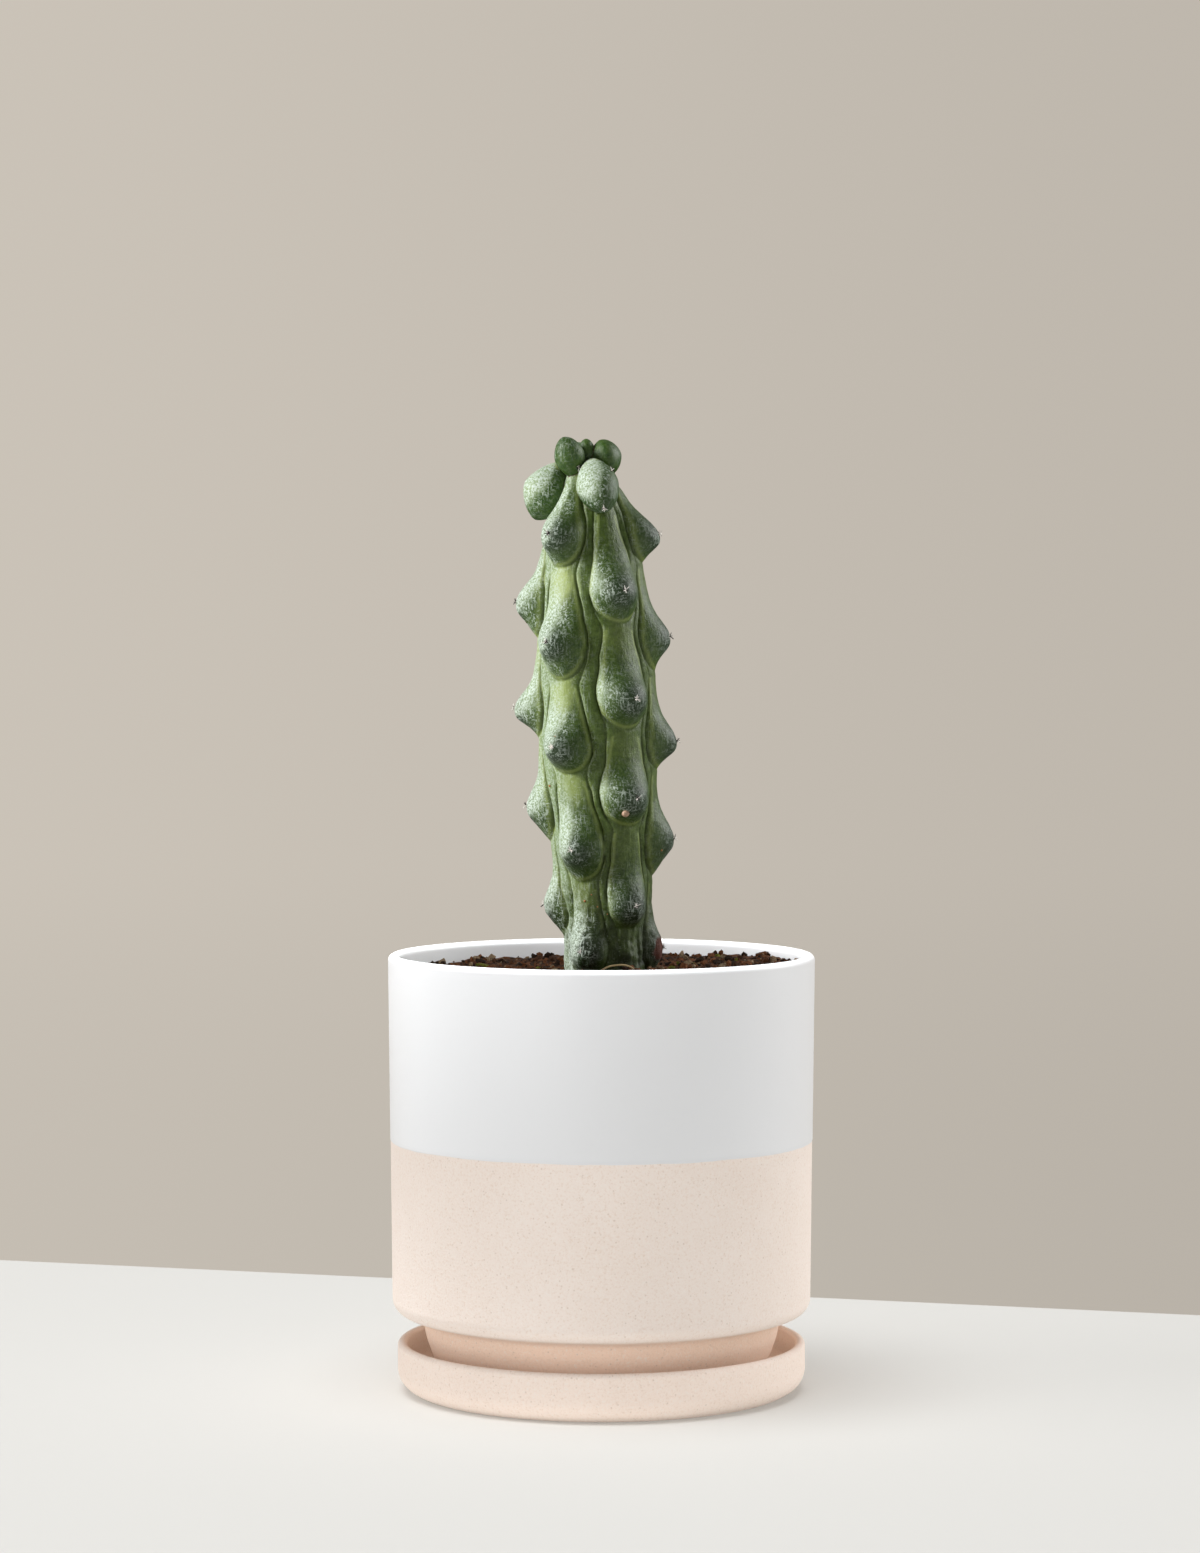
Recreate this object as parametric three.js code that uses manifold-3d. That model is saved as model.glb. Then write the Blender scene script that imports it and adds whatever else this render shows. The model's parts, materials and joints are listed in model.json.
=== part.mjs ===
// A potted cactus with swollen, drooping tubercles, in a two-tone stoneware pot on its saucer.
// Lengths are millimetres and +Z is up. The origin is on the pot's axis, under the saucer.
// Azimuths are in degrees, from the front of the plant (-Y) towards its right (+X).

import * as THREE from "three";
import Module from "manifold-3d";
import { ParametricGeometry } from "three/addons/geometries/ParametricGeometry.js";
import { mergeVertices } from "three/addons/utils/BufferGeometryUtils.js";

// Driving dimensions of the pot
const POT_DIAMETER = 130;
const RIM_HEIGHT = 133.1;
const POT_WALL = 3.5;
const GLAZE_LINE = 76.6;
const WALL_UNDERSIDE = 23.6;
const WALL_CORNER = 4.8;
const FOOT_TOP_RADIUS = 54.4;
const FOOT_BASE_RADIUS = 48;
const BASE_THICKNESS = 5.6;
const FOOT_WALL = 4.4;
const FOOT_RING_WIDTH = 5.2;
const FOOT_RECESS = 1.2;
const DRAIN_HOLE_RADIUS = 6;
const POT_SIDES = 60;

// Driving dimensions of the saucer
const SAUCER_DIAMETER = 124.4;
const SAUCER_HEIGHT = 15.1;
const SAUCER_FLOOR = 4.4;
const SAUCER_WALL = 2.9;
const SAUCER_BASE_CORNER = 7;
const SAUCER_INNER_CORNER = 4;

// Driving dimensions of the soil
const SOIL_HEIGHT = 127.4;
const SOIL_RISE_AT_RIGHT = 2;
const SOIL_RISE_AT_STEM = 1.1;
const SOIL_LUMP = 0.55;
const SOIL_RINGS = [0.6, 6, 13, 21, 29, 37, 44];
const SOIL_SIDES = 40;
const CLEARANCE = 0.35;

// Driving dimensions of the plant
const PLANT_HEIGHT = 290.5;
const TUBERCLE_HALF_WIDTH = 7.4;
const TUBERCLE_UPPER_SHARE = 0.68;
const TUBERCLE_NARROWING = 0.5;
const SWELL_ABOVE = 1.5;
const SWELL_BELOW = 0.85;
const EDGE_STEEPNESS = 0.8;
const LOWEST_PITCH = 29;
const HIGHEST_PITCH = 33;
const NOSE_REACH = 4.6;
const NOSE_REACH_ABOVE = 5.75;
const NOSE_REACH_BELOW = 3.9;
const NOSE_SHARE = 0.3;
const NOSE_ROUNDING = 0.14;
const NOSE_EASED_END = Math.hypot(1, NOSE_ROUNDING) - NOSE_ROUNDING;
const DROOP = 0.24;
const RIB_CROWN = 0.9;
const FURROW_DEPTH = 1.3;
const FURROW_SWAY = 1.7;
const FURROW_START = 0.7;
const FURROWS_BEGIN = [116, 132];
const FURROWS_END = [270, 283];
const TWIST_PER_MM = -0.045;
const TWIST_FREE_HEIGHT = 200;
const COLUMN_SPREAD = [0, 0.3, 0.58, 0.82, 1];
const LEAST_SPREAD = 0.55;
const ROW_SPACING = 3.7;
const BURIED_ROWS = [93, 95, 100, 108, 118, 123, 127, 130.5, 134];
const CROWN_ROWS = [273, 279, 282.6, 284];

// The six ribs, each with the heights of the noses of its tubercles, from the soil up
const RIBS = [
  { azimuth: -27.5, noses: [136, 165, 196, 227.5, 260] },
  { azimuth: 24, noses: [148, 180.5, 210.5, 243] },
  { azimuth: 84, noses: [134.5, 167.8, 198.5, 228.5, 261] },
  { azimuth: 146, noses: [149, 179, 208.5, 241] },
  { azimuth: 208, noses: [138, 167, 197, 229, 261] },
  { azimuth: 266, noses: [147.5, 177.5, 207.5, 238.5] },
];

// Pairs of height and value along the stem
const STEM_RADIUS = [
  [93, 0], [95, 4.2], [100, 7.4], [108, 10], [118, 11.8], [130, 12.4], [142, 12.8], [158, 14.2],
  [190, 16.6], [222, 16.6], [245, 15.2], [257, 13.8], [266, 11.6], [273, 9], [279, 6.4], [282.6, 4.2], [284, 0],
];
const STEM_LEAN = [[93, 2.2], [128, 2], [142, 1.5], [158, 0], [190, -1.2], [222, -2.1], [257, -3.1], [290, -4.7]];
const TUBERCLE_HEIGHT = [[135, 3.4], [149, 4.9], [168, 6.7], [180, 7.1], [198, 7.7], [228, 7.4], [262, 8.4]];

// The young lobes of the growing tip: where each one springs from and where its nose is,
// as azimuth, radius and height, with half its width
const CROWN_LOBES = [
  { azimuth: 16, root: [5.5, 282.5], nose: [17.5, 267.5], halfWidth: 5.9 },
  { azimuth: -95, root: [7, 282.8], nose: [18.6, 267.6], halfWidth: 6.2 },
  { azimuth: 144, root: [6.5, 281.5], nose: [18, 268], halfWidth: 6 },
  { azimuth: -48, root: [4.5, 279.2], nose: [9.5, PLANT_HEIGHT - 0.3], halfWidth: 4.5 },
  { azimuth: 96, root: [1, 283], nose: [10.4, 285.2], halfWidth: 4.5 },
  { azimuth: 208, root: [2, 281], nose: [10, 287.5], halfWidth: 4.4 },
  { azimuth: 0, root: [0, 280.5], nose: [0.6, 289.6], halfWidth: 1.9 },
];
const LOBE_SIDES = 10;
const LOBE_RINGS = 8;
const LOBE_FULLNESS = 0.2;
const LOBE_AREOLE = 0.75;

const SPINES_PER_NOSE = 2;
const SPINE_LENGTH = 2.2;
const SPINE_ROOT = 1.3;
const SPINE_RADIUS = 0.42;
const SPINE_SPREAD = 0.65;
const SPINE_SEED = 7;

const wasm = await Module();
wasm.setup();

const potRadius = POT_DIAMETER / 2;
const saucerRadius = SAUCER_DIAMETER / 2;
const potFloor = SAUCER_FLOOR + BASE_THICKNESS;

// A repeatable draw between 0 and 1
function seededDraw(seed) {
  let state = seed;
  return () => {
    state = (state * 1664525 + 1013904223) % 4294967296;
    return state / 4294967296;
  };
}

// Reads a smooth curve through the stations at one height
function along(stations, height) {
  const last = stations.length - 1;
  const clamped = THREE.MathUtils.clamp(height, stations[0][0], stations[last][0]);
  const next = Math.max(1, stations.findIndex(([at]) => at >= clamped));
  const [z0, v0] = stations[next - 1];
  const [z1, v1] = stations[next];
  const [zBefore, vBefore] = stations[Math.max(0, next - 2)];
  const [zAfter, vAfter] = stations[Math.min(last, next + 1)];
  const span = z1 - z0;
  const slope0 = ((v1 - vBefore) / (z1 - zBefore)) * span;
  const slope1 = ((vAfter - v0) / (zAfter - z0)) * span;
  const t = (clamped - z0) / span;
  const bend = (1 - t) * (1 - t) * t * slope0 - (1 - t) * t * t * slope1;
  return v0 * (1 + 2 * t) * (1 - t) * (1 - t) + v1 * t * t * (3 - 2 * t) + bend;
}

// One closed solid from a geometry whose seams and poles are still open
function toSolid(geometry) {
  geometry.deleteAttribute("normal");
  geometry.deleteAttribute("uv");
  const merged = mergeVertices(geometry, 1e-4);
  const { array } = merged.index;
  const corners = [];
  for (let i = 0; i < array.length; i += 3) {
    const [a, b, c] = [array[i], array[i + 1], array[i + 2]];
    if (a !== b && b !== c && c !== a) {
      corners.push(a, b, c);
    }
  }
  const vertProperties = new Float32Array(merged.attributes.position.array);
  if (signedVolume(vertProperties, corners) < 0) {
    corners.reverse();
  }
  const triVerts = new Uint32Array(corners);
  return new wasm.Manifold(new wasm.Mesh({ numProp: 3, vertProperties, triVerts }));
}

function signedVolume(positions, corners) {
  const [a, b, c] = [new THREE.Vector3(), new THREE.Vector3(), new THREE.Vector3()];
  let volume = 0;
  for (let i = 0; i < corners.length; i += 3) {
    a.fromArray(positions, corners[i] * 3);
    b.fromArray(positions, corners[i + 1] * 3);
    c.fromArray(positions, corners[i + 2] * 3);
    volume += a.dot(b.cross(c)) / 6;
  }
  return volume;
}

function toMesh(name, solid, color, roughness) {
  const { vertProperties, triVerts } = solid.getMesh();
  const geometry = new THREE.BufferGeometry();
  geometry.setAttribute("position", new THREE.BufferAttribute(vertProperties, 3));
  geometry.setIndex(new THREE.BufferAttribute(triVerts, 1));
  geometry.computeVertexNormals();
  const material = new THREE.MeshStandardMaterial({ color, roughness, metalness: 0 });
  const mesh = new THREE.Mesh(geometry, material);
  mesh.name = name;
  return mesh;
}

// A round solid from an outline of radius and height pairs
function turned(outline, sides) {
  const points = outline.map(([radius, height]) => new THREE.Vector2(radius, height));
  return new THREE.LatheGeometry(points, sides).rotateX(Math.PI / 2);
}

// Points of a quarter-round corner of an outline, from one angle to another
function corner(centre, radius, fromDegrees, toDegrees, steps) {
  const points = [];
  for (let i = 0; i <= steps; i += 1) {
    const angle = THREE.MathUtils.degToRad(THREE.MathUtils.lerp(fromDegrees, toDegrees, i / steps));
    points.push([centre[0] + radius * Math.cos(angle), centre[1] + radius * Math.sin(angle)]);
  }
  return points;
}

// The inside of the pot, from the glazed wall down to the edge of the drain hole
function potInside() {
  const radius = potRadius - POT_WALL;
  return [
    [radius - 0.5, GLAZE_LINE],
    [radius - 1.2, WALL_UNDERSIDE + 2.5 * WALL_CORNER],
    [radius - 4, WALL_UNDERSIDE + 1.25 * WALL_CORNER],
    [FOOT_TOP_RADIUS - FOOT_WALL, WALL_UNDERSIDE + 0.9],
    [FOOT_TOP_RADIUS - FOOT_WALL - 1.6, 16],
    [FOOT_BASE_RADIUS - FOOT_WALL - 0.6, potFloor + 0.4],
    [DRAIN_HOLE_RADIUS, potFloor],
  ];
}

// The pot is one turned shell: a straight wall, an undercut foot, and a drain hole in its base
function potOutline() {
  const lipRadius = POT_WALL / 2;
  const recess = SAUCER_FLOOR + FOOT_RECESS;
  const wallRadius = potRadius - FOOT_RECESS;
  return [
    [DRAIN_HOLE_RADIUS, recess],
    [FOOT_BASE_RADIUS - FOOT_RING_WIDTH - 1.8, recess],
    [FOOT_BASE_RADIUS - FOOT_RING_WIDTH - 0.8, SAUCER_FLOOR],
    [FOOT_BASE_RADIUS - 0.8, SAUCER_FLOOR],
    [FOOT_BASE_RADIUS + 0.4, SAUCER_FLOOR + 0.9],
    [FOOT_BASE_RADIUS + 3.6, 11],
    [FOOT_TOP_RADIUS - 0.7, 17],
    [FOOT_TOP_RADIUS, WALL_UNDERSIDE - 1.4],
    ...corner([wallRadius - WALL_CORNER, WALL_UNDERSIDE + WALL_CORNER], WALL_CORNER, -90, 0, 3),
    [potRadius - 0.6, GLAZE_LINE],
    ...corner([potRadius - lipRadius, RIM_HEIGHT - lipRadius], lipRadius, 0, 180, 4),
    ...potInside(),
    [DRAIN_HOLE_RADIUS, recess],
  ];
}

function saucerOutline() {
  const lipRadius = SAUCER_WALL / 2;
  const baseCentre = [saucerRadius - SAUCER_BASE_CORNER, SAUCER_BASE_CORNER];
  const innerRadius = saucerRadius - SAUCER_WALL;
  const innerCentre = [innerRadius - SAUCER_INNER_CORNER, SAUCER_FLOOR + SAUCER_INNER_CORNER];
  return [
    [0, 0],
    ...corner(baseCentre, SAUCER_BASE_CORNER, -90, 0, 4),
    ...corner([saucerRadius - lipRadius, SAUCER_HEIGHT - lipRadius], lipRadius, 0, 180, 4),
    ...corner(innerCentre, SAUCER_INNER_CORNER, 0, -90, 3),
    [0, SAUCER_FLOOR],
  ];
}

// The height of the soil: a low uneven bed that rises to the right and a little at the stem
function soilSurface(x, y) {
  const rise = SOIL_RISE_AT_RIGHT * THREE.MathUtils.smoothstep(x, -10, potRadius);
  const fromStem = (x - along(STEM_LEAN, SOIL_HEIGHT)) ** 2 + y ** 2;
  const atStem = SOIL_RISE_AT_STEM * Math.exp(-fromStem / 420);
  const broad = Math.sin(0.17 * x + 1.1) * Math.sin(0.19 * y + 0.4);
  const small = Math.sin(0.55 * x - 0.31 * y + 2) * Math.sin(0.47 * y + 0.2 * x);
  return SOIL_HEIGHT + rise + atStem + SOIL_LUMP * (broad + small);
}

// The soil fills the pot a little clear of its inside, up to the uneven surface
function soilGeometry() {
  const inside = potInside().slice(0, -1).reverse();
  const wall = potRadius - POT_WALL - CLEARANCE;
  const geometry = turned([
    [0, potFloor + CLEARANCE],
    ...inside.map(([radius, height]) => [radius - CLEARANCE, height + CLEARANCE]),
    ...SOIL_RINGS.map((inwards) => [wall - inwards, SOIL_HEIGHT]),
    [0, SOIL_HEIGHT],
  ], SOIL_SIDES);
  const { position } = geometry.attributes;
  for (let i = 0; i < position.count; i += 1) {
    if (Math.abs(position.getZ(i) - SOIL_HEIGHT) < 1e-3) {
      position.setZ(i, soilSurface(position.getX(i), position.getY(i)));
    }
  }
  return geometry;
}

// How far a tubercle reaches above and below its nose
function reaches(rib, index) {
  const { noses } = rib;
  const above = index + 1 < noses.length ? noses[index + 1] - noses[index] : HIGHEST_PITCH;
  const below = index > 0 ? noses[index] - noses[index - 1] : LOWEST_PITCH;
  return { up: TUBERCLE_UPPER_SHARE * above, down: (1 - TUBERCLE_UPPER_SHARE) * below };
}

// The tubercle of a rib that covers a height: how far it stands out on its centre line,
// half its width there, and the height above its nose
function tubercleAt(rib, height) {
  for (let i = 0; i < rib.noses.length; i += 1) {
    const { up, down } = reaches(rib, i);
    const stand = along(TUBERCLE_HEIGHT, rib.noses[i]);
    const rise = height - rib.noses[i] - DROOP * stand;
    if (rise > -down && rise < up) {
      const share = rise > 0 ? rise / up : -rise / down;
      const eased = (Math.hypot(share, NOSE_ROUNDING) - NOSE_ROUNDING) / NOSE_EASED_END;
      const swell = rise > 0 ? (1 - eased) ** SWELL_ABOVE : (1 - share * share) ** SWELL_BELOW;
      const narrow = rise > 0 ? 1 - TUBERCLE_NARROWING * share : Math.sqrt(1 - share * share);
      return { stand, rise, swell, halfWidth: TUBERCLE_HALF_WIDTH * narrow };
    }
  }
  return { stand: 0, rise: 0, swell: 0, halfWidth: 0 };
}

function ribAzimuth(index, height) {
  const turn = Math.floor(index / RIBS.length);
  const rib = RIBS[index - turn * RIBS.length];
  return rib.azimuth + 360 * turn + TWIST_PER_MM * (height - TWIST_FREE_HEIGHT);
}

// The furrow to the right of a rib snakes round the tubercles on both of its sides
function furrowAzimuth(index, height) {
  const middle = (ribAzimuth(index, height) + ribAzimuth(index + 1, height)) / 2;
  const left = tubercleAt(RIBS[(index + RIBS.length) % RIBS.length], height);
  const right = tubercleAt(RIBS[(index + 1) % RIBS.length], height);
  const push = (left.halfWidth - right.halfWidth) / TUBERCLE_HALF_WIDTH;
  const radius = Math.max(6, along(STEM_RADIUS, height));
  return middle + THREE.MathUtils.radToDeg((push * FURROW_SWAY) / radius);
}

// A point of the stem's skin: across one rib from -1 to 1, at a height, grown outwards if asked
function stemPoint(index, across, height, growth) {
  const rib = RIBS[index];
  const middle = ribAzimuth(index, height);
  const edge = across < 0 ? furrowAzimuth(index - 1, height) : furrowAzimuth(index, height);
  const azimuth = THREE.MathUtils.degToRad(middle + Math.abs(across) * (edge - middle));
  const core = along(STEM_RADIUS, height);
  const aside = Math.abs(azimuth - THREE.MathUtils.degToRad(middle)) * core;
  const begun = THREE.MathUtils.smoothstep(height, ...FURROWS_BEGIN);
  const ended = THREE.MathUtils.smoothstep(height, ...FURROWS_END);
  const furrow = FURROW_DEPTH * THREE.MathUtils.smoothstep(Math.abs(across), FURROW_START, 1);
  const ribbing = begun * (1 - ended) * (RIB_CROWN * (1 - across * across) - furrow);

  const { stand, rise, swell, halfWidth } = tubercleAt(rib, height);
  const fromEdge = halfWidth > 0 ? Math.max(0, 1 - (aside / halfWidth) ** 2) : 0;
  const body = (1 - NOSE_SHARE) * swell * fromEdge ** EDGE_STEEPNESS;
  const reach = rise > 0 ? NOSE_REACH_ABOVE : NOSE_REACH_BELOW;
  const nose = NOSE_SHARE * Math.exp(-((aside / NOSE_REACH) ** 2) - (rise / reach) ** 2);
  const bump = stand * (body + (stand > 0 ? nose : 0));

  const radius = core > 0 ? core + ribbing + bump + growth : 0;
  const x = along(STEM_LEAN, height) + radius * Math.sin(azimuth);
  const y = -radius * Math.cos(azimuth);
  const sink = height < STEM_RADIUS[2][0] ? growth : 0;
  return new THREE.Vector3(x, y, height - DROOP * bump - sink);
}

// Where a column of points crosses a rib: the furrow, or a place inside the tubercle's outline
function acrossRib(index, column, height) {
  const steps = COLUMN_SPREAD.length;
  const side = Math.sign(column);
  if (Math.abs(column) === steps) {
    return side;
  }
  const edge = furrowAzimuth(index - (side < 0 ? 1 : 0), height) - ribAzimuth(index, height);
  const full = Math.abs(THREE.MathUtils.degToRad(edge)) * along(STEM_RADIUS, height);
  const { halfWidth } = tubercleAt(RIBS[index], height);
  const outline = THREE.MathUtils.clamp(halfWidth / Math.max(1, full), LEAST_SPREAD, 0.9);
  return side * outline * COLUMN_SPREAD[Math.abs(column)];
}

// Heights of the rows of the stem's skin: even steps between the noses, fewer underground
function rowHeights() {
  const noses = RIBS[0].noses.flatMap((nose, i) => {
    const between = RIBS[5].noses[i];
    return between ? [nose, between] : [nose];
  });
  const tips = noses.map((nose) => nose + DROOP * along(TUBERCLE_HEIGHT, nose));
  const marks = [...tips, ...CROWN_ROWS];
  const rows = [...BURIED_ROWS];
  for (const mark of marks) {
    const from = rows[rows.length - 1];
    const steps = Math.max(1, Math.round((mark - from) / ROW_SPACING));
    for (let i = 1; i <= steps; i += 1) {
      rows.push(from + ((mark - from) * i) / steps);
    }
  }
  return rows;
}

function stemSolid(growth = 0) {
  const rows = rowHeights();
  const steps = COLUMN_SPREAD.length;
  const columns = RIBS.length * 2 * steps;
  const onSkin = (u, v, target) => {
    const column = Math.round(u * columns) % columns;
    const rib = Math.floor(column / (2 * steps));
    const height = rows[Math.round(v * (rows.length - 1))];
    const across = acrossRib(rib, (column % (2 * steps)) - steps, height);
    target.copy(stemPoint(rib, across, height, growth));
  };
  return toSolid(new ParametricGeometry(onSkin, columns, rows.length - 1));
}

// A point at an azimuth, radius and height round the leaning axis of the stem
function roundStem(azimuthDegrees, radius, height) {
  const azimuth = THREE.MathUtils.degToRad(azimuthDegrees);
  const x = along(STEM_LEAN, height) + radius * Math.sin(azimuth);
  return new THREE.Vector3(x, -radius * Math.cos(azimuth), height);
}

// A young lobe is an egg from its root to its nose, fuller towards the nose
function lobeSolid({ azimuth, root, nose, halfWidth }) {
  const from = roundStem(azimuth, ...root);
  const to = roundStem(azimuth, ...nose);
  const length = to.clone().sub(from);
  const geometry = new THREE.SphereGeometry(1, LOBE_SIDES, LOBE_RINGS);
  const { position } = geometry.attributes;
  for (let i = 0; i < position.count; i += 1) {
    const width = halfWidth * (1 + LOBE_FULLNESS * position.getY(i));
    const halfLength = length.length() / 2;
    position.setXYZ(i, position.getX(i) * width, position.getY(i) * halfLength, position.getZ(i) * width);
  }
  const up = new THREE.Vector3(0, 1, 0);
  geometry.applyQuaternion(new THREE.Quaternion().setFromUnitVectors(up, length.clone().normalize()));
  const middle = from.lerp(to, 0.5);
  geometry.translate(middle.x, middle.y, middle.z);
  return toSolid(geometry);
}

// Where each nose carries its few short spines, and which way they point
function spinePlaces() {
  const places = [];
  RIBS.forEach((rib, index) => {
    for (const nose of rib.noses) {
      const base = stemPoint(index, 0, nose + DROOP * along(TUBERCLE_HEIGHT, nose) + 1, 0);
      places.push({ base, azimuth: ribAzimuth(index, nose), lift: 0.25 });
    }
  });
  for (const { azimuth, root, nose, halfWidth } of CROWN_LOBES.slice(0, -1)) {
    const base = roundStem(azimuth, ...root).lerp(roundStem(azimuth, ...nose), LOBE_AREOLE);
    const slope = new THREE.Vector2(nose[0] - root[0], nose[1] - root[1]).normalize();
    const outwards = roundStem(azimuth, 1, base.z).sub(roundStem(azimuth, 0, base.z));
    const share = 2 * LOBE_AREOLE - 1;
    const width = halfWidth * Math.sqrt(1 - share * share) * (1 + LOBE_FULLNESS * share);
    const lift = slope.y < 0 ? slope.x : -slope.x;
    base.addScaledVector(outwards, width * Math.abs(slope.y));
    base.z += width * lift;
    places.push({ base, azimuth, lift });
  }
  return places;
}

function spineSolids() {
  const draw = seededDraw(SPINE_SEED);
  const solids = [];
  for (const { base, azimuth, lift } of spinePlaces()) {
    const turn = THREE.MathUtils.degToRad(azimuth);
    const outwards = new THREE.Vector3(Math.sin(turn), -Math.cos(turn), lift);
    const sideways = new THREE.Vector3(Math.cos(turn), Math.sin(turn), 0);
    for (let i = 0; i < SPINES_PER_NOSE; i += 1) {
      const fan = i - (SPINES_PER_NOSE - 1) / 2 + 0.4 * (draw() - 0.5);
      const direction = outwards.clone().normalize().addScaledVector(sideways, fan * SPINE_SPREAD);
      direction.z += 0.5 * draw();
      direction.normalize();
      const spine = new THREE.ConeGeometry(SPINE_RADIUS, SPINE_LENGTH + SPINE_ROOT, 3);
      spine.applyQuaternion(new THREE.Quaternion().setFromUnitVectors(new THREE.Vector3(0, 1, 0), direction));
      const middle = base.clone().addScaledVector(direction, (SPINE_LENGTH - SPINE_ROOT) / 2);
      spine.translate(middle.x, middle.y, middle.z);
      solids.push(toSolid(spine));
    }
  }
  return solids;
}

function cactusSolid() {
  let solid = stemSolid();
  for (const lobe of CROWN_LOBES) {
    solid = solid.add(lobeSolid(lobe));
  }
  for (const spine of spineSolids()) {
    solid = solid.add(spine);
  }
  return solid;
}

const plant = new THREE.Group();
plant.name = "potted_cactus";
plant.add(
  toMesh("saucer", toSolid(turned(saucerOutline(), POT_SIDES)), 0xecd3c2, 0.75),
  toMesh("pot", toSolid(turned(potOutline(), POT_SIDES)), 0xf1eeea, 0.45),
  toMesh("soil", toSolid(soilGeometry()).subtract(stemSolid(CLEARANCE)), 0x3a291e, 0.95),
  toMesh("cactus", cactusSolid(), 0x66855a, 0.7),
);

export default plant;
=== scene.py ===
"""A potted cactus with swollen, drooping tubercles, in a two-tone stoneware pot on its saucer.

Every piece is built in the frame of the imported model, and stands for one of its nodes. Sizes are in
millimetres up to the point where a mesh is made, which is in metres. Azimuths are in degrees, from the
front of the plant (-Y) towards its right (+X).
"""

import json
import math
import random

import bmesh
import bpy
from mathutils import Matrix, Quaternion, Vector, noise

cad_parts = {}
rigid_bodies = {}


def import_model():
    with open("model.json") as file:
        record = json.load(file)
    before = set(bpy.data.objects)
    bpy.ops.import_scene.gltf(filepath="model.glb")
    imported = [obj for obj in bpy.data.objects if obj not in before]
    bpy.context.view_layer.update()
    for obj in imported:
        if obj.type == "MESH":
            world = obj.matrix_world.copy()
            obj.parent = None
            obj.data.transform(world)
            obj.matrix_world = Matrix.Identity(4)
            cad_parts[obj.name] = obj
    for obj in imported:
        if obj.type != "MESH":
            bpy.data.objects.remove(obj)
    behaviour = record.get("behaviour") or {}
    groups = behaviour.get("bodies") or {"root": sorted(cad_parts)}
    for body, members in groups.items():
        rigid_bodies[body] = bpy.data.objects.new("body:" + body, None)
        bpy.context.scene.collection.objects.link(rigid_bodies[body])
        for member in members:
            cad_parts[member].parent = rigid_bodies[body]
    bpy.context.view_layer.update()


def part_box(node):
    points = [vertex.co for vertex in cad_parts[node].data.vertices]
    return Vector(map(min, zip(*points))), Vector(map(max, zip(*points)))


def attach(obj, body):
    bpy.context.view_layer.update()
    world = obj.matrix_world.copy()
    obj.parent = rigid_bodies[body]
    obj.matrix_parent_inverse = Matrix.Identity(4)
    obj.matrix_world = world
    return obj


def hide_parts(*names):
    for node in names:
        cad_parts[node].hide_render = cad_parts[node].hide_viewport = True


bl_info = {
    "name": "Potted Cactus",
    "version": (1, 0, 0),
    "blender": (4, 5, 0),
    "location": "3D View > Sidebar > Cactus",
    "description": "Builds a potted cactus with its soil, pot and saucer, piece by piece",
    "category": "Add Mesh",
}

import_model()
pot_low, pot_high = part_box("pot")
_, saucer_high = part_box("saucer")
plant_low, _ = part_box("cactus")

MM = 0.001
PLANT_PIECES = ("cactus", "areole", "bead")
POT_PIECES = ("pot", "saucer", "soil", "straw")
POT_RADIUS = pot_high.x / MM
RIM_HEIGHT = pot_high.z / MM
SAUCER_FLOOR = pot_low.z / MM
SAUCER_RADIUS = saucer_high.x / MM
SAUCER_HEIGHT = saucer_high.z / MM
BURIED_END = plant_low.z / MM

# The six ribs: azimuth, then for each nose from the soil up its height, how many degrees it strays from
# the rib, how far below it its tubercle ends, how far it stands out and how full it is below, 0 to 1
RIBS = (
    (-27.5, (
        (134.2, -4.6, 8, 4.3, 0.6), (165, 0.3, 9.4, 5.7, 0.5), (196, -5.8, 7.8, 6.8, 0.4),
        (227.5, -8.1, 11.2, 6.6, 0.6), (260, -7.8, 9.7, 7.4, 0.8),
    )),
    (24, (
        (148, 3.8, 6.2, 4.3, 0.5), (180.5, 4, 8.2, 6.2, 0.3), (210.5, 5.3, 8.8, 6.8, 0.6),
        (243, 3, 9.5, 6.9, 0.6),
    )),
    (84, (
        (134.5, 0, 8, 3.7, 0.5), (167.8, 0, 11, 6.1, 1), (197.4, 0, 8, 6.3, 0.2), (229.1, 0, 10, 5.8, 0.1),
        (260.2, 0, 8.2, 7.2, 0.6),
    )),
    (146, (
        (149, 0, 8, 4.3, 0.5), (179, 2, 9.5, 6.2, 0.2), (208.5, -2, 9, 6.8, 0.8), (241, 1, 9.6, 6.9, 0.4),
    )),
    (208, (
        (138, 0, 8, 3.4, 0.5), (167, -2, 9, 5.8, 0.3), (197, 1, 10, 6.8, 0.7), (229, 2, 9, 6.6, 0.2),
        (261, 0, 9.4, 7.4, 0.8),
    )),
    (266, (
        (147.4, 2, 9, 4.7, 0.7), (177.6, 0, 10.4, 5.6, 1), (207.3, -1, 9, 7.1, 0), (239.6, 0, 10.4, 7.3, 1),
    )),
)

# Pairs of height and value along the stem, in millimetres
STEM_RADIUS = (
    (93, 0), (95, 4.2), (100, 7.4), (108, 10), (118, 11.8), (130, 12.4), (142, 12.8), (158, 14.4),
    (190, 17.2), (222, 17.3), (245, 15.6), (257, 14.1), (266, 11.9), (273, 9.1), (279, 6.4),
    (282.6, 4.2), (284, 0),
)
STEM_LEAN = (
    (93, 2.2), (128, 2), (142, 1.7), (158, 0.7), (190, -0.8), (222, -1.8), (245, -2.6), (257, -2.9),
    (290, -4.7),
)

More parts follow.
